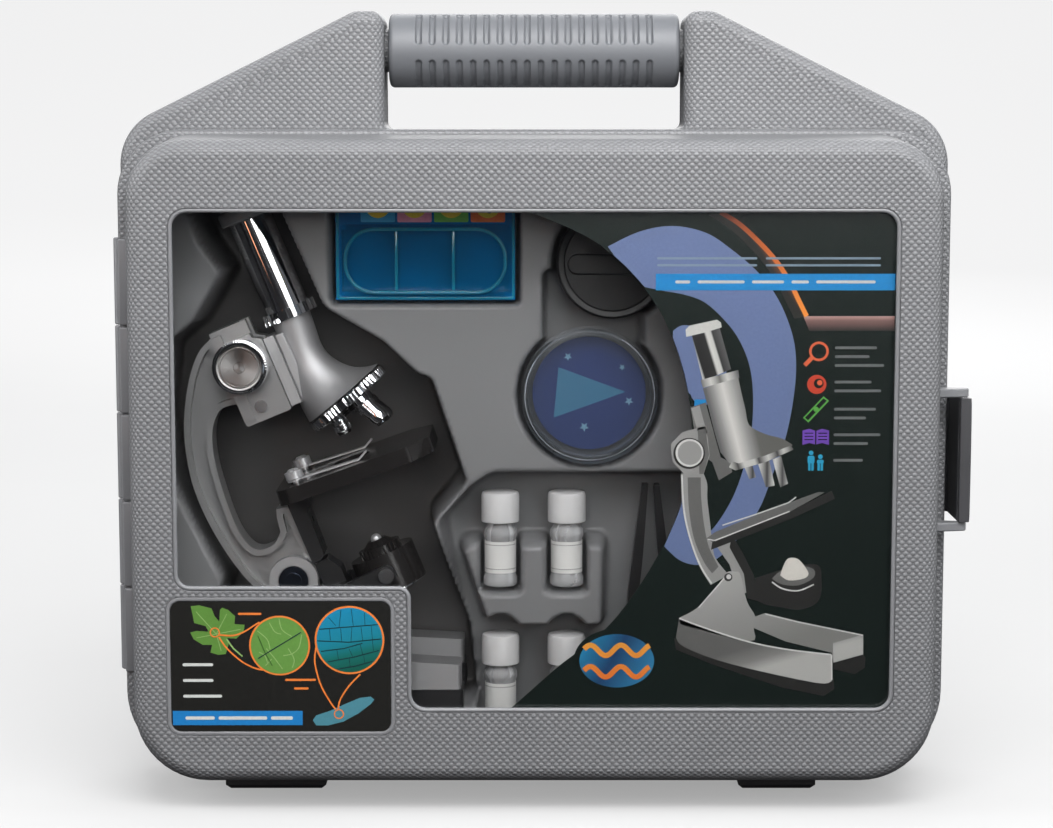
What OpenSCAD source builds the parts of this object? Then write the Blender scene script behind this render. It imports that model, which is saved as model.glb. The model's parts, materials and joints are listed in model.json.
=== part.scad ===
// Children's microscope, packed in its carrying case with its accessories.
// Row frame: +X right, +Y to the back, +Z up; the case stands on its two feet at Z = 0.
// The parting plane of the case is Y = 0, with the lid in front of it and the rear shell behind it.

/* [Case] */
// Width of the case across its side walls
case_w = 348; // [344:1:352]
// Height of the closed box, without its feet and handle
case_h = 273; // [271:1:275]
// Depth of the rear shell
rear_d = 45; // [44:1:50]
// Depth of the lid
lid_d = 45; // [44:1:48]
// Wall thickness of both shells
wall = 2.5; // [2:0.1:3]
// Height of the feet below the case
foot_h = 8; // [6:1:10]

/* [Handle] */
// Height of the handle's top above the floor
handle_top = 330; // [328:1:334]
// Gap between the two horns that hold the grip
handle_gap = 125.6; // [120:0.2:130]
// Outer diameter of the grip
grip_d = 31; // [28:0.5:32]
// Diameter of the bar inside the grip
bar_d = 18; // [14:0.5:20]

/* [Microscope] */
// Angle that the arm leans back from upright
tilt = 22.5; // [21.5:0.5:23]
// Radius of the chrome body tube
tube_r = 9.3; // [9:0.1:9.5]
// Length of the chrome body tube
tube_len = 40.5; // [38:0.5:41]
// Radius of the revolving turret
turret_r = 19.8; // [19:0.1:20]
// Angle between the turret's axis and the body tube
turret_tilt = 18; // [17:0.5:19]
// Half width of the base
base_half_w = 33; // [31:0.5:33]
// Radius of the focus knobs
knob_r = 11.6; // [11:0.1:12]

/* [Focus drive] */
// Module of the rack and pinion
gear_m = 1; // [1:1:1]
// Teeth on the pinion
pinion_teeth = 10; // [10:1:10]
// Play between the rack and the pinion, along the rack
backlash = 0.3; // [0.2:0.05:0.4]

/* [Accessories] */
// Radius of the petri dish lid
dish_r = 28.7; // [28:0.1:29]
// Radius of a vial's cap
cap_r = 8.2; // [7.8:0.1:8.3]

/* [Hidden] */
$fn = 64;

half_w = case_w / 2;
case_top = foot_h + case_h;
front_y = -lid_d;
seam = 0.3;

// Window opening in the lid and the picture label under its notch
win_half = 146;
win_top = 248;
win_bottom = 44.4;
notch_x = -50.6;
notch_z = 95.3;
label_box = [-149.4, 34.7, -58.9, 89.2];

// Hinge on the left edge, latch on the right edge
hinge_x = -half_w - 0.4;
hinge_r = 2.4;
hinge_low = 51;
hinge_high = 236;
knuckles = 5;
knuckle_len = (hinge_high - hinge_low) / knuckles;
latch_x = half_w + 4.6;
latch_y = -17;
latch_low = 118;
latch_high = 170;
latch_r = 3.9;

// Grip
horn_in = handle_gap / 2;
grip_y = 21;
grip_z = handle_top - 0.6 - grip_d / 2;
horn_d = 42;

// Tray
tray_front = -4;
tray_back = rear_d - wall - 1;
sheet = 1.5;

// Microscope: its frame has its origin at the inclination pivot
pivot = [-102, 4, 90.6];
optical_x = 42;
turret_at = [49.7, 0, 64.8];
objective_ring = 8.1;
pinion_at = [16.5, 0, 93];
pinion_r = gear_m * pinion_teeth / 2;
stage_at = [10, 0, 39.5];
stage_lean = 3;
lamp_at = [38, 0, -12];
clip_y = 19;

silver = [0.66, 0.66, 0.65];
chrome = [0.85, 0.85, 0.86];
black = [0.07, 0.07, 0.075];
case_grey = [0.52, 0.53, 0.55];

// ---------- 2D helpers ----------

// Outline of straight edges, each corner [x, y, r] turned into an arc of radius r
function fillet(p, n = 8) = [
    for (i = [0 : len(p) - 1])
        let (
            a = p[(i + len(p) - 1) % len(p)],
            b = p[i],
            c = p[(i + 1) % len(p)],
            u = unit([a[0] - b[0], a[1] - b[1]]),
            v = unit([c[0] - b[0], c[1] - b[1]]),
            half = acos(u * v) / 2,
            back = b[2] / tan(half),
            start = [b[0], b[1]] + u * back,
            mid = [b[0], b[1]] + unit(u + v) * b[2] / sin(half),
            from = start - mid,
            sweep = 180 - 2 * half,
            turn = (u[0] * v[1] - u[1] * v[0]) > 0 ? -1 : 1
        )
        for (k = [0 : b[2] > 0 ? n : 0])
            b[2] > 0 ? mid + spin2(from, turn * sweep * k / n) : [b[0], b[1]]
];
function unit(v) = v / norm(v);
function spin2(v, a) = [v[0] * cos(a) - v[1] * sin(a), v[0] * sin(a) + v[1] * cos(a)];

// Smooth open curve through a few points
function curve(p, n = 6) = [
    for (i = [0 : len(p) - 2], k = [0 : n - (i == len(p) - 2 ? 0 : 1)])
        let (
            a = p[max(i - 1, 0)],
            b = p[i],
            c = p[i + 1],
            d = p[min(i + 2, len(p) - 1)],
            t = k / n
        )
        0.5 * (2 * b + (c - a) * t + (2 * a - 5 * b + 4 * c - d) * t * t
               + (3 * b - a - 3 * c + d) * t * t * t)
];

function rounded_box(x0, z0, x1, z1, low_r, high_r) =
    fillet([[x0, z0, low_r], [x1, z0, low_r], [x1, z1, high_r], [x0, z1, high_r]]);

// Gear outline with involute flanks
function involute_at(base, r) =
    let (t = sqrt(max(r * r / (base * base) - 1, 0)))
    t * 180 / PI - atan(t);
function gear_outline(teeth, m, slack, tip, root) =
    let (
        pitch = teeth * m / 2,
        base = pitch * cos(20),
        half = (PI * m / 2 - slack) / pitch / 2 * 180 / PI + involute_at(base, pitch),
        radii = [for (k = [0 : 5]) base + (tip - base) * k / 5]
    )
    [for (i = [0 : teeth - 1]) each concat(
        [root * [cos(i * 360 / teeth - half), sin(i * 360 / teeth - half)]],
        [for (r = radii) let (a = i * 360 / teeth - half + involute_at(base, r)) r * [cos(a), sin(a)]],
        [for (k = [5 : -1 : 0]) let (r = radii[k], a = i * 360 / teeth + half - involute_at(base, r))
            r * [cos(a), sin(a)]],
        [root * [cos(i * 360 / teeth + half), sin(i * 360 / teeth + half)]]
    )];

// Circle with square teeth, for knurled rims
function knurl_outline(r, teeth, depth) = [
    for (i = [0 : teeth - 1], k = [0 : 3])
        let (a = (i + [0, 0.08, 0.5, 0.58][k]) * 360 / teeth, q = k < 1 || k > 2 ? r - depth : r)
        q * [cos(a), sin(a)]
];

// ---------- 3D helpers ----------

// Moves the whole object so that the middle of its width is X = 0
module placed() {
    translate([-(latch_x + latch_r + hinge_x - hinge_r) / 2, 0, 0]) children();
}

// Drawing in X and Z, extruded from Y = y0 to Y = y1
module slab(y0, y1) {
    translate([0, y1, 0]) rotate([90, 0, 0]) linear_extrude(y1 - y0) children();
}
// Cylinder along Y
module y_rod(at, r, y0, y1) {
    translate([at[0], y1, at[2]]) rotate([90, 0, 0]) cylinder(r = r, h = y1 - y0);
}
// Cylinder along Z
module z_rod(at, r, h) {
    translate(at) cylinder(r = r, h = h);
}
module mirrored(axis) {
    children();
    mirror(axis) children();
}
module scope() {
    translate(pivot) rotate([0, -tilt, 0]) children();
}
module stage_frame() {
    scope() translate(stage_at) rotate([0, stage_lean, 0]) children();
}
module turret_frame() {
    scope() translate(turret_at) rotate([0, -turret_tilt, 0]) children();
}
module objective_frame(turn) {
    turret_frame() rotate([0, 0, turn]) translate([-objective_ring, 0, -5]) rotate([0, turret_tilt, 0])
        children();
}

// ---------- Case ----------

// Outer outline of the rear shell, with the two horns of the handle
module rear_outline() {
    polygon(fillet([
        [-half_w, foot_h, 35], [half_w, foot_h, 35],
        [half_w, case_top, 22], [74, handle_top, 5], [horn_in, handle_top, 3], [horn_in, case_top, 3],
        [-horn_in, case_top, 3], [-horn_in, handle_top, 3], [-74, handle_top, 5],
        [-half_w, case_top, 22]
    ]));
}
module box_outline(inset) {
    polygon(rounded_box(-half_w + inset, foot_h + inset, half_w - inset, case_top - inset,
                        35 - inset, 27 - inset));
}
// Hollow inside each horn, open to the box behind the tray
module horn_hollow() {
    polygon(fillet([
        [horn_in + wall, case_top - 14, 0.5], [half_w - 20, case_top - 14, 0.5],
        [half_w - 14, case_top - 2, 3], [76, handle_top - 5, 2], [horn_in + wall, handle_top - 5, 2]
    ]));
}
// One hinge knuckle, number i counted from the bottom
module knuckle(i, side) {
    low = hinge_low + i * knuckle_len + 0.25;
    tall = knuckle_len - 0.5;
    z_rod([hinge_x, 0, low], hinge_r, tall);
    translate([hinge_x, side > 0 ? seam : -hinge_r, low])
        cube([hinge_r, hinge_r - seam, tall]);
}
// Room for the other half's knuckles
module knuckle_room(first) {
    for (i = [first : 2 : knuckles - 1])
        z_rod([hinge_x, 0, hinge_low + i * knuckle_len - 0.25], hinge_r + 0.35, knuckle_len + 0.5);
}
module rear_shell() color(case_grey) difference() {
    union() {
        difference() {
            union() {
                slab(0, rear_d) box_outline(0);
                slab(0, horn_d) rear_outline();
            }
            slab(-1, rear_d - wall) box_outline(wall);
            mirrored([1, 0, 0]) slab(wall, horn_d - wall) horn_hollow();
            knuckle_room(1);
        }
        for (i = [0, 2, 4]) knuckle(i, 1);
        // catch for the latch
        translate([half_w - 0.5, 4, 128]) cube([2, 4, 32]);
    }
    z_rod([hinge_x, 0, hinge_low - 1], 1.02, hinge_high - hinge_low + 2);
    translate([-horn_in - 10, grip_y, grip_z]) rotate([0, 90, 0])
        cylinder(d = bar_d, h = handle_gap + 20);
    for (x = [-110.5, 104]) translate([x - 12, 4, foot_h - 1]) cube([24, 30, 3]);
}
module window_outline(grow) {
    polygon(fillet([
        [-win_half - grow, notch_z - grow, 5], [notch_x - grow, notch_z - grow, 5 + grow],
        [notch_x - grow, win_bottom - grow, 6], [win_half + grow, win_bottom - grow, 6],
        [win_half + grow, win_top + grow, 6], [-win_half - grow, win_top + grow, 6]
    ]));
}
module label_outline(inset) {
    polygon(rounded_box(label_box[0] + inset, label_box[1] + inset,
                        label_box[2] - inset, label_box[3] - inset, 4, 4));
}
module lid_shell() color(case_grey) difference() {
    union() {
        difference() {
            slab(front_y, -seam) box_outline(0);
            slab(front_y + wall, 1) box_outline(wall);
            slab(front_y - 1, front_y + wall + 1) window_outline(0);
            slab(front_y - 1, front_y + 1.2) label_outline(0);
            knuckle_room(0);
        }
        for (i = [1, 3]) knuckle(i, -1);
        // lugs for the latch pin
        for (z = [latch_low - 4, latch_high + 0.3]) hull() {
            z_rod([latch_x, latch_y, z], 3.4, 3.7);
            translate([half_w - 0.5, latch_y - 6, z]) cube([0.6, 12, 3.7]);
        }
    }
    z_rod([hinge_x, 0, hinge_low - 1], 1.06, hinge_high - hinge_low + 2);
    z_rod([latch_x, latch_y, latch_low - 5], 1.5, latch_high - latch_low + 10);
}
module window_pane() color([0.85, 0.9, 0.92, 0.25]) slab(front_y + wall, front_y + wall + 1)
    window_outline(4);
// Card behind the right of the window, its left edge cut to one long bulging curve
module printed_card() color([0.05, 0.06, 0.06]) slab(front_y + wall + 1.5, front_y + wall + 1.9)
    polygon(concat(
        curve([[-12, win_bottom - 3], [8, 59.5], [34.4, 82.6], [57.5, 122], [64.4, 160], [53, 204],
               [27, 234.5], [-10, win_top + 3]]),
        [[win_half + 3, win_top + 3], [win_half + 3, win_bottom - 3]]
    ));
module picture_label() color([0.06, 0.06, 0.07]) slab(front_y + 0.2, front_y + 1.2) label_outline(0.15);
module handle_bar() color(case_grey) translate([-horn_in - 9, grip_y, grip_z]) rotate([0, 90, 0])
    cylinder(d = bar_d, h = handle_gap + 18);
module handle_grip() color([0.47, 0.49, 0.52]) translate([-horn_in + 1.6, grip_y, grip_z])
    rotate([0, 90, 0]) difference() {
        cylinder(d = grip_d, h = handle_gap - 3.2);
        translate([0, 0, -1]) cylinder(d = bar_d, h = handle_gap);
    }
// Section of the latch in X and Y, as a plate that reaches back over the catch
module latch() color(black) difference() {
    union() {
        z_rod([latch_x, latch_y, latch_low], latch_r, latch_high - latch_low);
        translate([0, 0, latch_low]) linear_extrude(latch_high - latch_low)
            polygon(fillet([
                [latch_x - 1.6, latch_y, 0.5], [latch_x + 3.8, latch_y, 1], [latch_x + latch_r, latch_y + 18, 6],
                [latch_x + 1, 15, 1], [half_w + 1.9, 15, 0.5], [half_w + 1.9, 9, 0.5],
                [latch_x - 1.6, 7.5, 0.5]
            ], 4));
    }
    z_rod([latch_x, latch_y, latch_low - 1], 1.56, latch_high - latch_low + 2);
    // the outer face falls away towards both ends
    for (s = [0, 1]) translate([half_w, 0, (latch_low + latch_high) / 2]) mirror([0, 0, s])
        translate([latch_x - half_w + latch_r, 0, 12]) rotate([0, -14, 0])
            translate([0, -50, 0]) cube([20, 100, 40]);
}
module latch_pin() color(chrome) z_rod([latch_x, latch_y, latch_low - 4], 1.5, latch_high - latch_low + 8);
module hinge_pin() color(chrome) z_rod([hinge_x, 0, hinge_low + 0.5], 1, hinge_high - hinge_low - 1);
// Rubber foot with a plug that fits a slot in the shell's floor
module foot(x, w) color(black) {
    difference() {
        hull() {
            translate([x - w / 2, -8, 2]) cube([w, 50, foot_h - 2]);
            translate([x - w / 2 + 2, -6, 0]) cube([w - 4, 46, 2]);
        }
        // room under the lid's rounded lower edge
        translate([x - w, -20, foot_h - 0.4]) cube([2 * w, 20 - seam, 2]);
    }
    translate([x - 12, 4, foot_h]) cube([24, 30, 2]);
}
module foot_left() foot(-110.5, 43);
module foot_right() foot(104, 33);

// ---------- Tray ----------

// Deep pocket for the microscope
module scope_pocket() {
    polygon(concat(
        fillet([
            [-154, 272, 3], [-98, 272, 4], [-106.5, 246, 3], [-89, 206, 8], [-64, 191.5, 5],
            [-50, 178, 3], [-44, 176, 4], [-29.4, 132, 4], [-44, 115, 6], [-27, 66, 5],
            [-23.5, 34, 4], [-150, 34, 4], [-132, 90, 6], [-152, 130, 12], [-159, 160, 12],
            [-155, 190, 8], [-143, 200, 3], [-130.5, 221, 2], [-139.5, 234, 6]
        ], 4)
    ));
}
// Shallow pocket for the hatchery box
module hatchery_pocket() {
    polygon(rounded_box(-84.6, 208.3, -6.8, 260, 2, 2));
}
// Round pockets for the dish and the cup, with finger room between them
module round_pockets() {
    translate([23.4, 169.5]) circle(r = dish_r + 1.4);
    translate([33, 225]) circle(r = 25);
    translate([6, 190]) square([44, 30]);
    translate([2, 210]) square([14, 14]);
}
// Wide lower recess around the vial block and the tweezers
module lower_recess() {
    polygon(fillet([
        [-23, 20, 3], [70, 20, 3], [70, 136, 3], [-18, 136, 8], [-27, 130, 5], [-40, 115, 5]
    ], 4));
}
module vial_block() {
    difference() {
        polygon(fillet([[-21, 68, 5], [31, 68, 4], [32, 107, 4], [-34, 107, 5]], 4));
        for (x = vial_x) translate([x - 8.6, 84.5]) square([17.2, 30]);
    }
}
// Thin moulded pocket: walls and floor around an outline
module pocket_wall(depth) {
    slab(tray_front, tray_front + depth) offset(delta = sheet) children();
}
module pocket_void(depth) {
    slab(tray_front - 1, tray_front + depth - sheet) children();
}
scope_depth = tray_back - tray_front;
vial_x = [-14.4, 14];
module tray() color([0.45, 0.46, 0.48]) {
    difference() {
        union() {
            slab(tray_front, tray_front + sheet) box_outline(wall + 0.7);
            difference() {
                slab(tray_front, tray_back) box_outline(wall + 0.7);
                slab(tray_front - 1, tray_back + 1) box_outline(wall + 0.7 + sheet);
            }
            pocket_wall(scope_depth) scope_pocket();
            pocket_wall(20) hatchery_pocket();
            pocket_wall(24) round_pockets();
            pocket_wall(26) lower_recess();
        }
        pocket_void(scope_depth) scope_pocket();
        pocket_void(20) hatchery_pocket();
        pocket_void(24) round_pockets();
        pocket_void(26) difference() { lower_recess(); offset(delta = 2.5) scope_pocket(); }
    }
    difference() {
        slab(tray_front + 1, tray_front + 26 - sheet) vial_block();
        slab(tray_front + 1 + sheet, tray_front + 30) offset(delta = -sheet) vial_block();
        for (x = vial_x) y_rod([x, 0, 66], cap_r + 0.6, -20, 40);
    }
}

// ---------- Accessories ----------

module hatchery_box() color([0.1, 0.45, 0.75, 0.6]) difference() {
    translate([-83.4, 0, 209.5]) cube([75.4, 14, 48.5]);
    for (i = [0 : 2]) translate([-80.9 + i * 24, -1, 213]) cube([22, 13, 26]);
}
module hatchery_cover() color([0.2, 0.6, 0.85, 0.5]) {
    slab(-1, 0) polygon(rounded_box(-82, 210.5, -9.4, 241.3, 3, 3));
    difference() {
        slab(-2.6, -1) polygon(rounded_box(-80, 212, -11.4, 240, 13, 13));
        slab(-4, -1) polygon(rounded_box(-78.6, 213.4, -12.8, 238.6, 11.6, 11.6));
    }
}
module specimen_stickers() color([0.9, 0.8, 0.2]) for (i = [0 : 3])
    translate([-72.8 + i * 15.4, -0.3, 242.2]) cube([14.4, 0.3, 14.4]);
module disc_at(x, z, r, y0, y1) {
    y_rod([x, 0, z], r, y0, y1);
}
module petri_dish() color([0.8, 0.85, 0.9, 0.4]) difference() {
    disc_at(23.4, 169.5, dish_r - 2, -6, 6);
    disc_at(23.4, 169.5, dish_r - 3.2, -8, 4.8);
}
module petri_lid() color([0.8, 0.85, 0.9, 0.4]) difference() {
    disc_at(23.4, 169.5, dish_r, -8, 3);
    disc_at(23.4, 169.5, dish_r - 1.2, -6.6, 4);
}
module petri_label() color([0.1, 0.25, 0.6]) disc_at(23.4, 169.5, dish_r - 4, 4.3, 4.8);
module sample_cup() color(black) {
    difference() {
        disc_at(33, 225, 23.7, 0, 18);
        disc_at(33, 225, 22.2, 1.8, 19);
    }
    slab(-1.2, 0) polygon(rounded_box(14, 220, 52, 229, 4.4, 4.4));
}
// Places of the four vials: X and the height of the bottom
vial_at = [for (z = [86.4, 24.6], x = vial_x) [x, z]];
module vials() color([0.9, 0.9, 0.88, 0.5]) for (v = vial_at) translate([v[0], 6, v[1]])
    rotate_extrude() polygon([
        [0, 0], [6.6, 0], [7.2, 0.8], [7.2, 4], [6.5, 5.5], [6.5, 20], [7.2, 21.5], [7.2, 24.5], [5, 27.5],
        [5, 38], [4, 38], [4, 27.2], [5.9, 24], [5.9, 1.5], [0, 1.5]
    ]);
module vial_caps() color([0.93, 0.93, 0.92]) for (v = vial_at) translate([v[0], 6, v[1] + 27.7])
    rotate_extrude() polygon([[5.1, 0], [cap_r, 0], [cap_r, 12.2], [cap_r - 0.8, 13], [0, 13],
                              [0, 10.8], [5.1, 10.8]]);
module vial_labels() color([0.95, 0.95, 0.95]) for (v = vial_at) translate([v[0], 6, v[1] + 6])
    difference() {
        cylinder(r = 6.75, h = 13.6);
        translate([0, 0, -1]) cylinder(r = 6.52, h = 16);
    }
// Plastic tweezers: two springy arms joined at the bottom
module tweezers() color(black) for (s = [0, 1]) translate([50, 8, 0]) mirror([s, 0, 0])
    slab(-3, 3) polygon(concat(
        curve([[0, 38], [6, 39], [10, 50], [10.5, 70], [7.5, 100], [3.6, 130]]),
        curve([[1.2, 130], [3.2, 100], [5.5, 75], [5, 56], [0, 48]])
    ));

// ---------- Microscope: base ----------

base_front = -30.5;
base_back = -132;
base_floor = 39.3;
foot_top = 48.7;
battery_x = [-118.6, -103.4];
module horseshoe(grow) {
    polygon(fillet([
        [base_back - grow, -22 - grow, 10], [base_back + 14, -base_half_w - grow, 14],
        [base_front + grow, -base_half_w - grow, 2], [base_front + grow, -17 + grow, 2],
        [-84 + grow, -17 + grow, 8], [-84 + grow, 17 - grow, 8],
        [base_front + grow, 17 - grow, 2], [base_front + grow, base_half_w + grow, 2],
        [base_back + 14, base_half_w + grow, 14], [base_back - grow, 22 + grow, 10]
    ], 5));
}
// Side profile of one upright, rising in a hollow curve to the pivot ear
module upright_outline() {
    polygon(concat(
        curve([[-129, 60], [-121, 67], [-114.5, 78], [-112.3, 88]]),
        [for (a = [165 : -15 : 15]) [pivot[0] + 10.5 * cos(a), pivot[2] + 10.5 * sin(a)]],
        curve([[-91.6, 88], [-90.5, 76], [-86, 68], [-74, 60]])
    ));
}
module base_casting() color(silver) difference() {
    union() {
        // prongs and heel under a sloping top
        intersection() {
            translate([0, pivot[1], foot_top]) linear_extrude(24) horseshoe(0);
            slab(-60, 60) polygon([
                [base_back - 2, 40], [base_front + 2, 40], [base_front + 2, 59], [-84, 62], [-100, 66.5],
                [-120, 67.5], [base_back - 2, 63]
            ]);
        }
        for (s = [-1, 1]) translate([0, pivot[1] + s * 9.7, 0]) slab(-2.3, 2.3) upright_outline();
    }
    // battery room
    translate([-127, pivot[1] - 27, foot_top - 1]) cube([32.6, 54, 14]);
    // hollow prongs
    for (s = [-1, 1]) translate([-82, pivot[1] + s * 25 - 6, foot_top - 1]) cube([49, 12, 9]);
    y_rod(pivot, 3, -20, 30);
    y_rod(pivot, 6.6, -10, -6.5);
}
module base_foot() color(black) difference() {
    translate([0, pivot[1], base_floor]) linear_extrude(foot_top - base_floor) horseshoe(1);
    translate([-127, pivot[1] - 27, base_floor + 2.4]) cube([32.6, 54, 10]);
    translate([-128, pivot[1] - 28, base_floor - 1]) cube([34.6, 56, 3.4]);
}
module battery_cover() color(black) translate([-127.8, pivot[1] - 27.8, base_floor])
    cube([34.2, 55.6, 2.3]);
module batteries() color([0.75, 0.6, 0.2]) for (x = battery_x) {
    y_rod([x, 0, 54.4], 7, pivot[1] - 25, pivot[1] + 24);
    y_rod([x, 0, 54.4], 2.6, pivot[1] + 24, pivot[1] + 25.4);
}
module inclination_screw() color([0.2, 0.22, 0.27]) {
    y_rod(pivot, 2.97, -7, 19);
    y_rod(pivot, 6.2, -8.4, -6.5);
    y_rod(pivot, 3.6, -9, -8.4);
}
module inclination_nut() color(chrome) translate([pivot[0], 19.5, pivot[2]]) rotate([90, 0, 0])
    difference() {
        cylinder(r = 5, h = 3.4, $fn = 6);
        translate([0, 0, -1]) cylinder(r = 3, h = 6);
    }

// ---------- Microscope: arm and stage ----------

// Outline of the C-shaped arm, front edge upright
module arm_outline() {
    polygon(concat(
        curve([[7.9, 108], [0, 104], [-9, 93.5], [-18, 77], [-23, 60], [-24.5, 47], [-24, 33],
               [-21.5, 17], [-17, 3], [-9, -7.5]]),
        [for (a = [245 : 12 : 317]) 9.8 * [cos(a), sin(a)]],
        [[9.9, -4], [9.9, 29.5], [4.6, 30.6], [3.4, 27]],
        curve([[2.4, 21], [-1.8, 17.4], [-8, 17], [-12, 20.6], [-14, 30], [-13.4, 44], [-11.6, 58],
               [-8.4, 69], [-4, 76], [1, 79], [7.9, 78]])
    ));
}
module arm() color(silver) scope() difference() {
    union() {
        difference() {
            slab(-7, 7) arm_outline();
            // web between the raised rims
            for (y = [[-8, -3.5], [3.5, 8]]) slab(y[0], y[1]) offset(delta = -2.6) arm_outline();
        }
        y_rod([0, 0, 0], 8, -7, 7);
    }
    y_rod([0, 0, 0], 3.03, -9, 9);
}
housing_screw_z = [74, 84];
module focus_housing() color(silver) scope() difference() {
    union() {
        slab(-13, 13) polygon(fillet([
            [8, 68, 1], [28.3, 68, 1], [28.3, 100, 1], [24.5, 102, 1], [24.5, 104, 0.5], [8, 104, 0.5]
        ], 3));
        slab(-9, 9) polygon([[8, 104], [24.5, 104], [24.5, 110], [8, 110]]);
        for (s = [-1, 1]) slab(s * 13 - 1.2, s * 13 + 1.2) polygon([[8, 70], [13, 70], [13, 108], [8, 108]]);
    }
    // channel for the rack, pocket for the pinion and bore for its shaft
    translate([20.2, -4.2, 60]) cube([20, 8.4, 60]);
    y_rod(pinion_at, 6.5, -4.2, 4.2);
    y_rod(pinion_at, 2.05, -20, 20);
    for (z = housing_screw_z) y_rod([17, 0, z], 1.5, -14, -5);
}
module housing_screws() color(chrome) scope() for (z = housing_screw_z) {
    y_rod([17, 0, z], 1.5, -13, -5.5);
    y_rod([17, 0, z], 2.6, -14.2, -13);
}
stage_hole_x = optical_x - stage_at[0];
module stage_plan(inset) {
    polygon(fillet([
        [inset, -25 + inset, 3], [5 + inset, -30 + inset, 3], [58 - inset, -30 + inset, 2],
        [68 - inset, -20 + inset, 2], [68 - inset, 20 - inset, 2], [58 - inset, 30 - inset, 2],
        [5 + inset, 30 - inset, 3], [inset, 25 - inset, 3]
    ], 3));
}
module stage() color(black) stage_frame() difference() {
    translate([0, 0, -6.5]) linear_extrude(6.5) stage_plan(0);
    translate([0, 0, -7]) linear_extrude(4.5) difference() {
        stage_plan(2);
        translate([-1, -12]) square([16, 24]);
    }
    z_rod([stage_hole_x, 0, -8], 8, 10);
    for (s = [-1, 1]) z_rod([9, s * clip_y, -3], 1.5, 4);
}
// Leg that carries the stage on the front of the arm
module stage_bracket() color(black) scope() difference() {
    slab(-9, 9) polygon([[10, 32.9], [21.5, 32.3], [16.6, 24], [16, 5], [14, 3.4], [10, 3.4]]);
    for (z = [10, 20]) translate([0, 0, z]) rotate([0, 90, 0]) cylinder(r = 1.6, h = 30);
}
module clip_posts() color(chrome) stage_frame() for (s = [-1, 1]) {
    z_rod([9, s * clip_y, -2.5], 1.5, 4.5);
    z_rod([9, s * clip_y, 2], 3.8, 3.2);
    translate([9, s * clip_y, 5.2]) cylinder(r1 = 3, r2 = 1.8, h = 1);
}
// Spring clip: ring round the post, strip that dips to the slide, tip turned up
module clip(s) color(chrome) stage_frame() translate([9, s * clip_y, 0]) {
    difference() {
        z_rod([0, 0, 1.1], 3.6, 0.7);
        z_rod([0, 0, 0], 1.58, 4);
    }
    slab(-2, 2) polygon([
        [3, 1.1], [28, 0.3], [32, 2.6], [31.6, 3.2], [27.8, 1], [3, 1.8]
    ]);
}
module stage_clip_near() clip(-1);
module stage_clip_far() clip(1);

// ---------- Microscope: lamp and mirror ----------

module lamp_fork() color(black) scope() difference() {
    union() {
        slab(-6.4, 6.4) polygon([[10.2, 2.8], [16, 2.8], [20, -3], [20, -15], [14, -15], [10.2, -9]]);
        translate([14, -17.6, -15]) cube([6, 35.2, 6]);
        for (s = [0, 1]) mirror([0, s, 0]) slab(14.8, 17.6) hull() {
            translate([14, -15]) square([2, 6]);
            translate([lamp_at[0], lamp_at[2]]) circle(r = 4, $fn = 32);
        }
    }
    y_rod(lamp_at, 2.05, -20, 20);
}
module lamp_cup() color(black) scope() translate(lamp_at) difference() {
    z_rod([0, 0, -8], 14, 16);
    z_rod([0, 0, -6.8], 12.4, 13.6);
    z_rod([0, 0, 5], 7.2, 6);
    y_rod([0, 0, 0], 1.6, -20, 20);
}
module lamp_ring() color(black) scope() translate(lamp_at) difference() {
    union() {
        translate([0, 0, 8]) linear_extrude(3) polygon(knurl_outline(9.2, 24, 0.7));
        translate([0, 0, 11]) cylinder(r1 = 7.2, r2 = 4, h = 2.6);
    }
    z_rod([0, 0, 7], 2.8, 8);
}
module bulb_socket() color([0.75, 0.6, 0.25]) scope() translate(lamp_at) {
    z_rod([0, 0, -3], 4.6, 11);
    z_rod([0, 0, 8], 2.75, 4);
}
module bulb() color([1, 1, 0.9, 0.5]) scope() translate(lamp_at) {
    z_rod([0, 0, 12], 2.3, 1.7);
    translate([0, 0, 13.7]) intersection() {
        sphere(r = 2.3, $fn = 32);
        translate([-3, -3, 0]) cube([6, 6, 3]);
    }
}
module mirror_disc() color(chrome) scope() translate(lamp_at) z_rod([0, 0, -8.8], 12.6, 0.8);
module lamp_screws() color(chrome) scope() translate(lamp_at) for (s = [0, 1]) mirror([0, s, 0]) {
    y_rod([0, 0, 0], 1.6, 12.5, 14.6);
    y_rod([0, 0, 0], 2, 14.6, 18);
    y_rod([0, 0, 0], 3.3, 18, 19.4);
}

// ---------- Microscope: head, tube and turret ----------

// Sections of the head from its neck to the turret: x, z, radius and lean
head_sections = [
    [41.8, 103, 8.4, 0], [41.4, 95, 8.3, 0], [40.6, 87, 8.4, 4], [41.1, 81, 9.4, 8],
    [42.4, 75.3, 11.3, 11], [44.3, 70.3, 13.8, 14], [47.2, 66.8, 16.6, 16], [49.7, 64.9, 19, 18]
];
module head_section(s) {
    translate([s[0], 0, s[1]]) rotate([0, -s[3], 0]) cylinder(r = s[2], h = 0.1, $fn = 32);
}
module head() color(silver) scope() difference() {
    union() {
        for (i = [0 : len(head_sections) - 2]) hull() {
            head_section(head_sections[i]);
            head_section(head_sections[i + 1]);
        }
        // saddle that carries the rack
        translate([33, -8, 70]) cube([6, 16, 29]);
    }
    z_rod([optical_x, 0, 50], 5, 60);
    translate([13, -12, 68.6]) cube([20, 24, 40]);
    translate(turret_at) rotate([0, -turret_tilt, 0]) {
        translate([0, 0, -40]) cylinder(r = 40, h = 40);
        translate([0, 0, -1]) cylinder(r = 2.5, h = 9);
    }
}
rack_pitch = PI * gear_m;
rack_line = pinion_at[0] + pinion_r;
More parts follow.
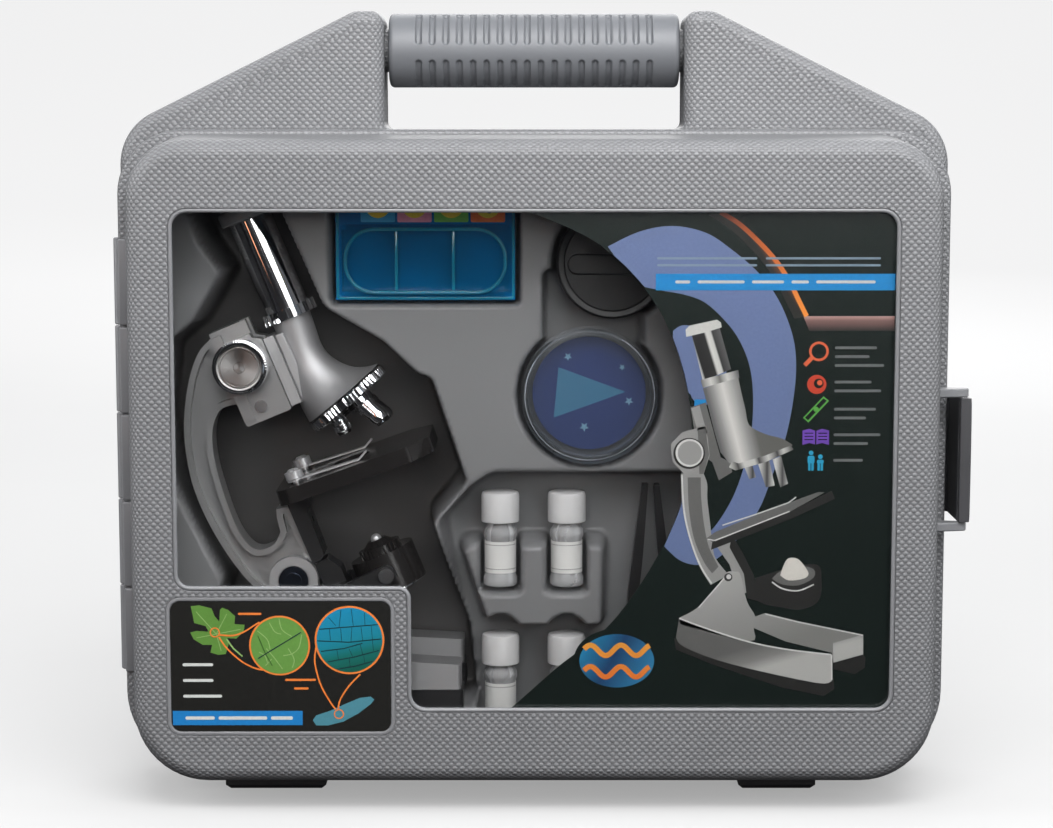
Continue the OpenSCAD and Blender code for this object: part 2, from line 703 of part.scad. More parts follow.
// Tooth of the rack, in X and Z, centred on z
function rack_tooth(z) =
    let (half = (rack_pitch / 2 - backlash) / 2, s = tan(20))
    [[rack_line + 1.2, z - half - 1.2 * s], [rack_line - 0.55, z - half + 0.55 * s],
     [rack_line - 0.55, z + half - 0.55 * s], [rack_line + 1.2, z + half + 1.2 * s]];
module rack_slide() color(silver) scope() {
    slab(-11, 11) polygon([[28.6, 69], [33, 69], [33, 99.5], [28.6, 99.5]]);
    slab(-3.8, 3.8) polygon(concat(
        [[28.6, 70], [28.6, 99]],
        [[rack_line + 1.2, 99]],
        [for (k = [1 : -1 : -6]) each [for (j = [3 : -1 : 0]) rack_tooth(pinion_at[2] + (k + 0.5) * rack_pitch)[j]]],
        [[rack_line + 1.2, 70]]
    ));
}
module tube_collar() color(chrome) scope() difference() {
    translate([optical_x, 0, 103.2]) linear_extrude(4.5) polygon(knurl_outline(11.6, 18, 0.8));
    z_rod([optical_x, 0, 102], 7.4, 8);
}
module body_tube() color(chrome) scope() difference() {
    z_rod([optical_x, 0, 107.7], tube_r, tube_len);
    z_rod([optical_x, 0, 107], tube_r - 0.8, tube_len + 2);
}
eye_low = 107.7 + tube_len;
module eyepiece() color([0.3, 0.32, 0.35]) scope() translate([optical_x, 0, 0]) difference() {
    union() {
        z_rod([0, 0, eye_low + 0.1], 12.4, 6);
        z_rod([0, 0, eye_low + 6.1], 10.8, 3);
        z_rod([0, 0, eye_low - 22], tube_r - 0.86, 22.1);
    }
    z_rod([0, 0, eye_low - 23], 6.6, 26);
    z_rod([0, 0, eye_low + 2], 5, 3);
    translate([0, 0, eye_low + 4.6]) cylinder(r1 = 5, r2 = 9, h = 5);
}
module eye_lens() color([0.8, 0.9, 1, 0.4]) scope() z_rod([optical_x, 0, eye_low + 0.4], 6.6, 2.6);
module turret() color(chrome) turret_frame() difference() {
    union() {
        translate([0, 0, -5]) linear_extrude(4.5) polygon(knurl_outline(turret_r, 48, 0.7));
        translate([0, 0, -7.5]) cylinder(r1 = 12, r2 = 17, h = 2.5);
    }
    z_rod([0, 0, -10], 2.55, 12);
    for (a = [0, 120, 240]) rotate([0, 0, a]) translate([-objective_ring, 0, -5])
        rotate([0, turret_tilt, 0]) translate([0, 0, -12]) cylinder(r = 3.4, h = 24);
}
module turret_screw() color(chrome) turret_frame() {
    z_rod([0, 0, -8], 2.48, 15);
    translate([0, 0, -9.6]) cylinder(r1 = 2.4, r2 = 3.6, h = 1.6);
}
// Objective of length long and radius r, screwed into the turret
module objective(turn, long, r) color(chrome) objective_frame(turn) difference() {
    union() {
        z_rod([0, 0, -4.4], 3.38, 4);
        z_rod([0, 0, -7], r, 2.6);
        z_rod([0, 0, -long + 1.6], r - 0.5, long - 8.6);
        translate([0, 0, -long]) cylinder(r1 = r - 1.3, r2 = r - 0.5, h = 1.6);
    }
    z_rod([0, 0, -long - 1], 1.4, long + 4);
}
objectives = [[0, 9, 4.2], [120, 15, 4.4], [240, 16.5, 4]];
module objective_short() objective(objectives[0][0], objectives[0][1], objectives[0][2]);
module objective_medium() objective(objectives[1][0], objectives[1][1], objectives[1][2]);
module objective_long() objective(objectives[2][0], objectives[2][1], objectives[2][2]);
module objective_lenses() color([0.8, 0.9, 1, 0.5]) for (o = objectives) objective_frame(o[0])
    z_rod([0, 0, -o[1] + 0.3], 1.4, 1.2);

// ---------- Microscope: focus drive ----------

module pinion_shaft() color(chrome) scope() translate(pinion_at) {
    y_rod([0, 0, 0], 2, -20, 20);
    rotate([90, 0, 0]) translate([0, 0, -3.6]) linear_extrude(7.2)
        polygon(gear_outline(pinion_teeth, gear_m, backlash, pinion_r + gear_m, pinion_r - 0.9));
}
module knob(s) color(chrome) scope() translate(pinion_at) mirror([0, s, 0]) difference() {
    union() {
        translate([0, -15.5, 0]) rotate([90, 0, 0]) linear_extrude(8)
            polygon(knurl_outline(knob_r, 60, 0.45));
        y_rod([0, 0, 0], knob_r - 1.2, -26, -23.5);
    }
    y_rod([0, 0, 0], 9.4, -27, -25.2);
    y_rod([0, 0, 0], 2, -20, -10);
}
module focus_knob_near() knob(0);
module focus_knob_far() knob(1);

// ---------- Nodes ----------

placed() rear_shell();
placed() lid_shell();
placed() window_pane();
placed() printed_card();
placed() picture_label();
placed() tray();
placed() handle_bar();
placed() handle_grip();
placed() latch();
placed() latch_pin();
placed() hinge_pin();
placed() foot_left();
placed() foot_right();
placed() hatchery_box();
placed() hatchery_cover();
placed() specimen_stickers();
placed() petri_dish();
placed() petri_lid();
placed() petri_label();
placed() sample_cup();
placed() vials();
placed() vial_caps();
placed() vial_labels();
placed() tweezers();
placed() base_casting();
placed() base_foot();
placed() battery_cover();
placed() batteries();
placed() inclination_screw();
placed() inclination_nut();
placed() arm();
placed() focus_housing();
placed() housing_screws();
placed() stage();
placed() stage_bracket();
placed() clip_posts();
placed() stage_clip_near();
placed() stage_clip_far();
placed() lamp_fork();
placed() lamp_cup();
placed() lamp_ring();
placed() bulb_socket();
placed() bulb();
placed() mirror_disc();  // mirror
placed() lamp_screws();
placed() head();
placed() rack_slide();
placed() tube_collar();
placed() body_tube();
placed() eyepiece();
placed() eye_lens();
placed() turret();
placed() turret_screw();
placed() objective_short();
placed() objective_medium();
placed() objective_long();
placed() objective_lenses();
placed() pinion_shaft();
placed() focus_knob_near();
placed() focus_knob_far();
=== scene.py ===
"""Looks of a children's microscope kit in its carrying case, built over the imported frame.

Lengths are in millimetres until they reach a mesh. X runs across the case from the middle of its
width, Y from its parting plane to the back, and Z up from the floor.
"""

import itertools
import json
import math

import bmesh
import bpy
import numpy as np
from mathutils import Matrix, Vector


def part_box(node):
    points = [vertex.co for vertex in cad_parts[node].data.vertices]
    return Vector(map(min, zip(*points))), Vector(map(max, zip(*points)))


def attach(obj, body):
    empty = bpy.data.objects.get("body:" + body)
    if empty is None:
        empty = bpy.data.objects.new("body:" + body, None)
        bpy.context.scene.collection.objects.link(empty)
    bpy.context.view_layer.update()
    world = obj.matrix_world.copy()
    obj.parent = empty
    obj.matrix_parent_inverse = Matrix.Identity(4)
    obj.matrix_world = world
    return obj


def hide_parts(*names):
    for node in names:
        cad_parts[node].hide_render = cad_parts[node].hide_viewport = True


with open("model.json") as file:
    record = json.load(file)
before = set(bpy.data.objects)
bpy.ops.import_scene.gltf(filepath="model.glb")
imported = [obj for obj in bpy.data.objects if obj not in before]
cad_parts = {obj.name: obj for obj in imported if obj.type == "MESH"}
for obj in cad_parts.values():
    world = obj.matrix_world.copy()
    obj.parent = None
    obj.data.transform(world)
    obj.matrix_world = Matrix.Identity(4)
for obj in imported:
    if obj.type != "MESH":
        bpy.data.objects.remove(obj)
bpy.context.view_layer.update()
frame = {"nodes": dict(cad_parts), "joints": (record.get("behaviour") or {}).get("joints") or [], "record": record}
NODES = frame["nodes"]
MM = 0.001


# ---------- Places taken from the frame ----------

def joint(name):
    return next(j for j in frame["joints"] if j["name"] == name)


def middle(node):
    low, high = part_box(node)
    return (low + high) / 2 / MM


CASE_X = middle("tray").x
PIVOT = Vector(joint("arm_tilt")["pos_m"])
TUBE_AXIS = Vector(joint("focus_slide")["axis"])
TILT = math.atan2(-TUBE_AXIS.x, TUBE_AXIS.z)
CASE = Matrix.Translation((CASE_X * MM, 0, 0)) @ Matrix.Scale(MM, 4)
SCOPE = Matrix.Translation(PIVOT) @ Matrix.Rotation(-TILT, 4, "Y") @ Matrix.Scale(MM, 4)

TRAY_IN = 3.2  # how far the tray's edge stands in from the case's side
HALF_W = (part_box("tray")[1].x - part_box("tray")[0].x) / MM / 2 + TRAY_IN
FRONT_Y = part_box("lid_shell")[0].y / MM
BACK_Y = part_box("rear_shell")[1].y / MM
FLOOR_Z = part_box("lid_shell")[0].z / MM
TOP_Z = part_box("lid_shell")[1].z / MM
HORN_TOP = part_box("rear_shell")[1].z / MM
WALL = 2.5
EDGE_R = 7  # round edge of the lid's face
RIM_D = 7.5  # depth of the rim round the lid
LID_IN = 7  # how far the lid's body stands in from that rim
HORN_IN, HORN_OUT = 62.8, 75  # inner side and top outer corner of the horns
TRAY_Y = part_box("tray")[0].y / MM
POCKET_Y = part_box("tray")[1].y / MM - 1.5


# ---------- Outlines ----------

def unit(v):
    return v / np.linalg.norm(v)


def fillet(corners, steps=8):
    """Closed outline with each corner (x, z, r) turned into an arc of radius r."""
    points = []
    n = len(corners)
    for i, (x, z, r) in enumerate(corners):
        b = np.array([x, z], float)
        u = unit(np.array(corners[i - 1][:2], float) - b)
        v = unit(np.array(corners[(i + 1) % n][:2], float) - b)
        if r == 0:
            points.append(tuple(b))
            continue
        half = math.acos(np.clip(u @ v, -1, 1)) / 2
        centre = b + unit(u + v) * r / math.sin(half)
        start = b + u * r / math.tan(half) - centre
        sweep = math.pi - 2 * half
        if u[0] * v[1] - u[1] * v[0] > 0:
            sweep = -sweep
        for k in range(steps + 1):
            c, s = math.cos(sweep * k / steps), math.sin(sweep * k / steps)
            points.append((centre[0] + start[0] * c - start[1] * s, centre[1] + start[0] * s + start[1] * c))
    return points


def box_corners(x0, z0, x1, z1, low_r, high_r):
    return [(x0, z0, low_r), (x1, z0, low_r), (x1, z1, high_r), (x0, z1, high_r)]


def curve(points, steps=5):
    """Smooth open curve through a few points."""
    p = [np.array(q, float) for q in points]
    out = []
    for i in range(len(p) - 1):
        a, b, c, d = p[max(i - 1, 0)], p[i], p[i + 1], p[min(i + 2, len(p) - 1)]
        for k in range(steps):
            t = k / steps
            q = 2 * b + (c - a) * t + (2 * a - 5 * b + 4 * c - d) * t * t + (3 * b - a - 3 * c + d) * t ** 3
            out.append(tuple(q / 2))
    out.append(tuple(p[-1]))
    return out


def arc(cx, cz, r, start, end, steps=24):
    angles = np.radians(np.linspace(start, end, steps + 1))
    return [(cx + r * math.cos(a), cz + r * math.sin(a)) for a in angles]


def circle(cx, cz, r, steps=48):
    return arc(cx, cz, r, 0, 360, steps)[:-1]


def turns(count):
    """Angles spread evenly over one full turn."""
    return np.linspace(0, math.tau, count, endpoint=False)


def bar(x, z, width, height, radius, steps=2):
    """Rounded bar from its lower left corner."""
    return fillet(box_corners(x, z, x + width, z + height, radius, radius), steps)


def inset(outline, distance):
    """The outline moved inwards by distance, point for point."""
    p = np.array(outline, float)
    before, after = np.roll(p, 1, axis=0), np.roll(p, -1, axis=0)
    d0 = p - before
    d1 = after - p
    d0 /= np.maximum(np.linalg.norm(d0, axis=1, keepdims=True), 1e-9)
    d1 /= np.maximum(np.linalg.norm(d1, axis=1, keepdims=True), 1e-9)
    t = d0 + d1
    t /= np.linalg.norm(t, axis=1, keepdims=True)
    normal = np.stack([-t[:, 1], t[:, 0]], axis=1)
    area = 0.5 * np.sum(p[:, 0] * after[:, 1] - after[:, 0] * p[:, 1])
    if area < 0:
        normal = -normal
    stretch = 1 / np.maximum(np.sum(t * d0, axis=1, keepdims=True), 0.5)
    return [tuple(q) for q in p + normal * distance * stretch]


# ---------- Mesh building ----------

def make(name, verts, faces, matrix, body, material, smooth=30, replaces=()):
    mesh = bpy.data.meshes.new(name)
    mesh.from_pydata([tuple(matrix @ Vector(v)) for v in verts], [], faces)
    if matrix.determinant() < 0:
        mesh.flip_normals()
    return adopt(name, mesh, body, material, smooth, replaces)


def adopt(name, mesh, body, material, smooth=30, replaces=()):
    """Gives a finished mesh its object, material, shading and body."""
    tidy = bmesh.new()
    tidy.from_mesh(mesh)
    bmesh.ops.remove_doubles(tidy, verts=tidy.verts, dist=1e-7)
    bmesh.ops.recalc_face_normals(tidy, faces=tidy.faces)
    tidy.to_mesh(mesh)
    tidy.free()
    obj = bpy.data.objects.new(name, mesh)
    bpy.context.scene.collection.objects.link(obj)
    mesh.materials.append(material)
    mesh.shade_smooth()
    if smooth < 180:
        mesh.set_sharp_from_angle(angle=math.radians(smooth))
    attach(obj, body)
    if replaces:
        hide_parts(*replaces)
    return obj


def loft_data(rings, cap_start=True, cap_end=True):
    n = len(rings[0])
    verts = [v for ring in rings for v in ring]
    faces = []
    for r in range(len(rings) - 1):
        for i in range(n):
            j = (i + 1) % n
            faces.append((r * n + i, r * n + j, (r + 1) * n + j, (r + 1) * n + i))
    if cap_start:
        faces.append(tuple(range(n))[::-1])
    if cap_end:
        faces.append(tuple((len(rings) - 1) * n + i for i in range(n)))
    return verts, faces


def lathe(name, profile, matrix, body, material, steps=96, smooth=30, replaces=()):
    """Solid of revolution about the matrix's Z axis; the profile is (radius, height) pairs."""
    verts, faces, rows = [], [], []
    for r, z in profile:
        if r < 1e-6:
            rows.append([len(verts)])
            verts.append((0, 0, z))
            continue
        rows.append(list(range(len(verts), len(verts) + steps)))
        verts += [(r * math.cos(t), r * math.sin(t), z) for t in turns(steps)]
    for a, b in zip(rows, rows[1:]):
        for i in range(steps):
            j = (i + 1) % steps
            corners = [a[i % len(a)], a[j % len(a)], b[j % len(b)], b[i % len(b)]]
            face = tuple(dict.fromkeys(corners))
            if len(face) > 2:
                faces.append(face)
    return make(name, verts, faces, matrix, body, material, smooth, replaces)


def plate(name, outline, y0, y1, body, material, holes=(), matrix=CASE, edge=0.0, smooth=40, replaces=()):
    """Flat shape drawn in X and Z, with holes, between two depths; edge rounds its rims."""
    bm = bmesh.new()
    loops = []
    for line in [outline, *holes]:
        verts = [bm.verts.new((x, y0, z)) for x, z in line]
        loops.append([bm.edges.new((verts[i], verts[(i + 1) % len(verts)])) for i in range(len(verts))])
    bmesh.ops.triangle_fill(bm, use_beauty=True, edges=[e for loop in loops for e in loop])
    extruded = bmesh.ops.extrude_face_region(bm, geom=list(bm.faces), use_keep_orig=True)
    moved = [g for g in extruded["geom"] if isinstance(g, bmesh.types.BMVert)]
    bmesh.ops.translate(bm, verts=moved, vec=(0, y1 - y0, 0))
    bmesh.ops.recalc_face_normals(bm, faces=bm.faces)
    bmesh.ops.dissolve_limit(bm, angle_limit=0.01, verts=bm.verts, edges=bm.edges)
    if edge:
        rims = [e for e in bm.edges if len(e.link_faces) == 2
                and e.calc_face_angle(0) > 1.2
                and abs(e.verts[0].co.y - e.verts[1].co.y) < 1e-6]
        bmesh.ops.bevel(bm, geom=rims, offset=edge, segments=3, profile=0.5, affect="EDGES",
                        clamp_overlap=True)
    mesh = bpy.data.meshes.new(name)
    bm.to_mesh(mesh)
    bm.free()
    mesh.transform(matrix)
    return adopt(name, mesh, body, material, smooth, replaces)


def shape_mesh(verts, faces, matrix=CASE):
    """Unlinked helper object for cutting."""
    mesh = bpy.data.meshes.new("cutter")
    mesh.from_pydata([tuple(matrix @ Vector(v)) for v in verts], [], faces)
    fix = bmesh.new()
    fix.from_mesh(mesh)
    bmesh.ops.recalc_face_normals(fix, faces=fix.faces)
    fix.to_mesh(mesh)
    fix.free()
    obj = bpy.data.objects.new("cutter", mesh)
    bpy.context.scene.collection.objects.link(obj)
    return obj


def cut(obj, cutter):
    """Cuts one object's shape out of another, exactly, and removes the cutter."""
    step = obj.modifiers.new("cut", "BOOLEAN")
    step.operation = "DIFFERENCE"
    step.solver = "EXACT"
    step.object = cutter
    bake(obj)
    mesh = cutter.data
    bpy.data.objects.remove(cutter)
    bpy.data.meshes.remove(mesh)


def bake(obj):
    """Replaces an object's mesh with its evaluated one and drops its modifiers."""
    bpy.context.view_layer.update()
    graph = bpy.context.evaluated_depsgraph_get()
    mesh = bpy.data.meshes.new_from_object(obj.evaluated_get(graph))
    obj.modifiers.clear()
    obj.data = mesh


def prism(outline, y0, y1):
    return loft_data([[(x, y, z) for x, z in outline] for y in (y0, y1)])


def sharpen(obj, angle):
    """Smooth shading with sharp edges past an angle in degrees."""
    obj.data.shade_smooth()
    obj.data.set_sharp_from_angle(angle=math.radians(angle))


def soften(obj, width, segments=2, angle=35):
    """Rounds an object's hard edges without touching its own mesh."""
    bevel = obj.modifiers.new("soft_edges", "BEVEL")
    bevel.width = width * MM
    bevel.segments = segments
    bevel.limit_method = "ANGLE"
    bevel.angle_limit = math.radians(angle)
    bevel.use_clamp_overlap = True
    bevel.harden_normals = False
    weigh = obj.modifiers.new("even_shading", "WEIGHTED_NORMAL")
    weigh.keep_sharp = True
    weigh.weight = 60


# ---------- Materials ----------

FINISHES = {}


class Graph:
    """Small helper for building a material's nodes; FINISHES keeps each material under its name."""

    def __init__(self, name):
        self.material = bpy.data.materials.new(name)
        self.material.use_nodes = True
        FINISHES[name] = self.material
        self.nodes = self.material.node_tree.nodes
        self.links = self.material.node_tree.links
        self.shader = self.nodes["Principled BSDF"]
        self.coords = self.nodes.new("ShaderNodeTexCoord")

    def link(self, a, b):
        self.links.new(a, b)

    def value(self, socket, item):
        if isinstance(item, (int, float)):
            socket.default_value = item
        elif isinstance(item, (tuple, list)):
            socket.default_value = (*item, 1)[:len(socket.default_value)]
        else:
            self.link(item, socket)

    def math(self, operation, a, b=0.0, c=0.0, clamp=False):
        node = self.nodes.new("ShaderNodeMath")
        node.operation = operation
        node.use_clamp = clamp
        for socket, item in zip(node.inputs, (a, b, c)):
            self.value(socket, item)
        return node.outputs[0]

    def split(self, vector):
        node = self.nodes.new("ShaderNodeSeparateXYZ")
        self.link(vector, node.inputs[0])
        return node.outputs

    def join(self, x, y, z):
        node = self.nodes.new("ShaderNodeCombineXYZ")
        for socket, item in zip(node.inputs, (x, y, z)):
            self.value(socket, item)
        return node.outputs[0]

    def noise(self, scale, detail=2.0, vector=None, roughness=0.5):
        node = self.nodes.new("ShaderNodeTexNoise")
        node.inputs["Scale"].default_value = scale
        node.inputs["Detail"].default_value = detail
        node.inputs["Roughness"].default_value = roughness
        self.link(vector or self.coords.outputs["Object"], node.inputs["Vector"])
        return node.outputs["Fac"]

    def ramp(self, factor, stops):
        node = self.nodes.new("ShaderNodeValToRGB")
        elements = node.color_ramp.elements
        while len(elements) < len(stops):
            elements.new(0.5)
        for element, (place, colour) in zip(elements, stops):
            element.position = place
            element.color = (*colour, 1)
        self.link(factor, node.inputs["Fac"])
        return node.outputs["Color"]

    def spread(self, factor, low, high):
        """Factor 0..1 stretched to low..high."""
        return self.math("MULTIPLY_ADD", factor, high - low, low)

    def bump(self, height, distance, strength=1.0, normal=None):
        node = self.nodes.new("ShaderNodeBump")
        node.inputs["Strength"].default_value = strength
        node.inputs["Distance"].default_value = distance
        self.link(height, node.inputs["Height"])
        if normal:
            self.link(normal, node.inputs["Normal"])
        return node.outputs["Normal"]

    def set(self, **sockets):
        for name, item in sockets.items():
            self.value(self.shader.inputs[name.replace("_", " ")], item)

    def normal(self, item):
        self.link(item, self.shader.inputs["Normal"])

    def grain(self, scale, detail, height):
        """Fine relief, its height in millimetres."""
        self.normal(self.bump(self.noise(scale, detail), height * MM))

    def mottle(self, factor, colour, low, high, edge=0.3):
        """The colour between two brightnesses."""
        return self.ramp(factor, [(edge, shade(colour, low)), (1 - edge, shade(colour, high))])

    def mix(self, factor, a, b, blend="MIX"):
        node = self.nodes.new("ShaderNodeMix")
        node.data_type = "RGBA"
        node.blend_type = blend
        for name, item in (("Factor", factor), ("A", a), ("B", b)):
            self.value(node.inputs[name], item)
        return node.outputs["Result"]


def shade(colour, amount):
    return tuple(min(c * amount, 1) for c in colour)


def plastic(name, colour, rough=0.45, mottle=0.06, grain=0.02, grain_scale=900.0, **extra):
    """Moulded plastic with slight colour mottling and fine grain."""
    g = Graph(name)
    g.set(Base_Color=g.mottle(g.noise(40.0, 4.0), colour, 1 - mottle, 1 + mottle))
    g.set(Roughness=g.spread(g.noise(120.0, 3.0), rough - 0.05, rough + 0.05), **extra)
    g.grain(grain_scale, 2.0, grain)
    return g.material


def metal(name, colour, rough, grain=0.01, grain_scale=1500.0, streak=0.03):
    """Plated or painted metal with faint wear in its gloss."""
    g = Graph(name)
    worn = g.noise(60.0, 5.0)
    g.set(Base_Color=g.mottle(worn, colour, 0.94, 1.03))
    g.set(Metallic=1.0, Roughness=g.spread(worn, max(rough - streak, 0.01), rough + streak))
    g.grain(grain_scale, 2.0, grain)
    return g.material


def dimples(g, pitch_x=3.1, pitch_z=2.95):
    """Height of staggered round bumps that run round the edges of the case."""
    x, y, z = g.split(g.coords.outputs["Object"])
    nx, _, nz = g.split(g.coords.outputs["Normal"])
    sideways = g.math("GREATER_THAN", g.math("ABSOLUTE", nx), g.math("ABSOLUTE", nz))
    depth = g.math("SUBTRACT", y, FRONT_Y * MM)
    across_side = g.math("MULTIPLY", g.math("SIGN", nx), sideways)
    along_side = g.math("MULTIPLY", g.math("SIGN", nz), g.math("SUBTRACT", 1.0, sideways))
    u = g.math("DIVIDE", g.math("MULTIPLY_ADD", depth, across_side, x), pitch_x * MM)
    v = g.math("DIVIDE", g.math("MULTIPLY_ADD", depth, along_side, z), pitch_z * MM)
    heights = []
    half_x, half_z = 0.36, 0.32  # half widths of a bump, as shares of its pitch
    for shift in (0.0, 0.5):
        across = g.math("SUBTRACT", g.math("FRACT", g.math("ADD", u, shift + 100)), 0.5)
        along = g.math("SUBTRACT", g.math("FRACT", g.math("ADD", v, shift + 100)), 0.5)
        a = g.math("POWER", g.math("DIVIDE", g.math("ABSOLUTE", across), half_x), 2.0)
        b = g.math("POWER", g.math("DIVIDE", g.math("ABSOLUTE", along), half_z), 2.0)
        heights.append(g.math("SUBTRACT", 1.0, g.math("ADD", a, b)))
    return g.math("MAXIMUM", g.math("MAXIMUM", *heights), 0.0)


def textured_case():
    """Grey plastic under round bumps, with painted highlight on their crowns and painted shade between them."""
    g = Graph("case_grey")
    bumps = dimples(g)
    base = g.mottle(g.noise(30.0, 4.0), CASE_TONE, 0.96, 1.04)
    # Painted highlight and shade: the colour rises on each bump's crown and falls in the gaps between bumps.
    lift = g.ramp(bumps, [(0.0, (0.8, 0.8, 0.8)), (0.7, (1.14, 1.14, 1.14))])
    g.set(Base_Color=g.mix(1.0, base, lift, "MULTIPLY"))
    g.set(Roughness=g.spread(g.noise(200.0, 2.0), 0.40, 0.48))
    fine = g.bump(g.noise(1500.0, 2.0), 0.012 * MM)
    g.normal(g.bump(bumps, 0.3 * MM, 0.8, fine))
    return g.material


def thin_clear(name, tint, haze=0.02, rough=0.03, metallic=1.0, gloss=1.0):
    """Clear sheet: mirror-like only as far as a thin pane reflects."""
    g = Graph(name)
    fresnel = g.nodes.new("ShaderNodeFresnel")
    fresnel.inputs["IOR"].default_value = 1.49
    scuffs = g.spread(g.noise(25.0, 6.0), 0.0, haze)
    g.set(Base_Color=tint, Metallic=metallic, Roughness=rough)
    g.set(Alpha=g.math("MULTIPLY_ADD", fresnel.outputs[0], gloss, scuffs, clamp=True))
    return g.material


def tinted_clear(name, deep, edge, alpha=0.8, rough=0.12):
    """Coloured clear plastic with a painted highlight: a paler edge colour where the surface turns away from the
    view.
    """
    g = Graph(name)
    facing = g.nodes.new("ShaderNodeLayerWeight")
    facing.inputs["Blend"].default_value = 0.35
    face = g.mottle(g.noise(50.0, 3.0), deep, 0.85, 1.15)
    # The edge colour is painted highlight, mixed in towards the outline.
    g.set(Base_Color=g.mix(facing.outputs["Facing"], face, edge), Roughness=rough, Alpha=alpha)
    g.set(Coat_Weight=0.6)
    return g.material


def brushed_disc(name, colour, centre, rough=0.22):
    """Turned metal face, brushed in rings round the Y axis."""
    g = Graph(name)
    x, _, z = g.split(g.coords.outputs["Object"])
    dx = g.math("SUBTRACT", x, centre.x)
    dz = g.math("SUBTRACT", z, centre.z)
    radius = g.math("SQRT", g.math("ADD", g.math("MULTIPLY", dx, dx), g.math("MULTIPLY", dz, dz)))
    rings = g.noise(1.0, 3.0, g.join(g.math("MULTIPLY", radius, 9000.0), 0.0, 0.0))
    g.set(Base_Color=g.mottle(rings, colour, 0.6, 1.0))
    g.set(Metallic=1.0, Roughness=rough, Anisotropic=0.85)
    tangent = g.nodes.new("ShaderNodeTangent")
    tangent.direction_type = "RADIAL"
    tangent.axis = "Y"
    g.link(tangent.outputs[0], g.shader.inputs["Tangent"])
    g.normal(g.bump(rings, 0.03 * MM))
    return g.material


def ink(name, colour, rough=0.35, mottle=0.04):
    """Printed colour on coated card."""
    g = Graph(name)
    g.set(Base_Color=g.mottle(g.noise(900.0, 2.0), colour, 1 - mottle, 1 + mottle, 0.35))
    g.set(Roughness=rough)
    g.grain(2500.0, 1.0, 0.001)
    return g.material


def tone(name, start, end, stops):
    """Printed colour that changes along the line between two places on the print, in millimetres."""
    g = Graph(name)
    x, _, z = g.split(g.coords.outputs["Object"])
    dx, dz = end[0] - start[0], end[1] - start[1]
    length = (dx * dx + dz * dz) * MM
    along = g.math("MULTIPLY_ADD", x, dx / length, -(start[0] + CASE_X) * MM * dx / length)
    place = g.math("MULTIPLY_ADD", z, dz / length, -start[1] * MM * dz / length)
    g.set(Base_Color=g.ramp(g.math("ADD", along, place, clamp=True), stops), Roughness=0.35)
    g.grain(2500.0, 1.0, 0.001)
    return g.material


def tray_plastic():
    """Grey moulded sheet, with painted shade that darkens it towards the floor of the deepest pocket."""
    g = Graph("tray_grey")
    _, y, _ = g.split(g.coords.outputs["Object"])
    mottled = g.spread(g.noise(40.0, 4.0), -0.06, 0.06)
    # Painted shade: from 18 mm behind the parting plane, the colour darkens over 20 mm towards the deepest
    # pocket's floor.
    shaded_from, shaded_over = 18 * MM, 20 * MM
    depth = g.math("MULTIPLY_ADD", y, 1 / shaded_over, -shaded_from / shaded_over, clamp=True)
    g.set(Base_Color=g.ramp(g.math("ADD", depth, mottled), [
        (0, (0.205, 0.207, 0.212)), (0.3, (0.195, 0.197, 0.202)), (1, (0.076, 0.073, 0.072))]))
    g.set(Roughness=g.spread(g.noise(120.0, 3.0), 0.37, 0.47))
    g.grain(300.0, 2.0, 0.05)
    return g.material


CASE_TONE = (0.152, 0.155, 0.162)
CASE_GREY = textured_case()
TRAY_GREY = tray_plastic()
GRIP_GREY = plastic("grip_grey", (0.12, 0.126, 0.137), 0.48, 0.03, 0.02)
BLACK = plastic("black_plastic", (0.016, 0.016, 0.017), 0.38, 0.1, 0.02)
plastic("foot_rubber", (0.022, 0.022, 0.024), 0.6, 0.1, 0.04, 600.0)
LATCH_BLACK = plastic("latch_black", (0.045, 0.045, 0.049), 0.4, 0.12, 0.03, 500.0)
CHROME = metal("chrome", (0.86, 0.86, 0.87), 0.06, 0.004, 900.0, 0.02)
metal("pin_steel", (0.62, 0.62, 0.63), 0.25, 0.01)
metal("blued_steel", (0.12, 0.14, 0.19), 0.22, 0.01)
SILVER = plastic("satin_silver", (0.44, 0.44, 0.445), 0.52, 0.04, 0.02, 1100.0, Metallic=0.8)
SILVER_ARM = plastic("arm_silver", (0.34, 0.34, 0.34), 0.38, 0.05, 0.02, 1100.0, Metallic=0.6)
CLIP_STEEL = plastic("clip_steel", (0.6, 0.6, 0.61), 0.3, 0.04, 0.01, Metallic=0.55)
STAGE_BLACK = plastic("stage_black", (0.0165, 0.0152, 0.0148), 0.22, 0.1, 0.01)
metal("brass", (0.72, 0.5, 0.22), 0.3)
thin_clear("clear_sheet", (0.95, 0.97, 1.0), 0.006, 0.02, gloss=0.6)
DISH_CLEAR = thin_clear("dish_clear", (0.8, 0.87, 0.95), 0.012, 0.05, 0.4)
thin_clear("lens_glass", (0.75, 0.85, 1.0), 0.1, 0.02)
VIAL_CLEAR = thin_clear("vial_clear", (0.85, 0.86, 0.87), 0.5, 0.2, 0.0)
# The second colour of each tinted plastic is its painted edge highlight.
tinted_clear("blue_clear", (0.002, 0.17, 0.48), (0.03, 0.42, 0.5), 0.88)
HATCHERY_COVER = tinted_clear("blue_cover", (0.003, 0.2, 0.44), (0.12, 0.6, 0.7), 0.2)
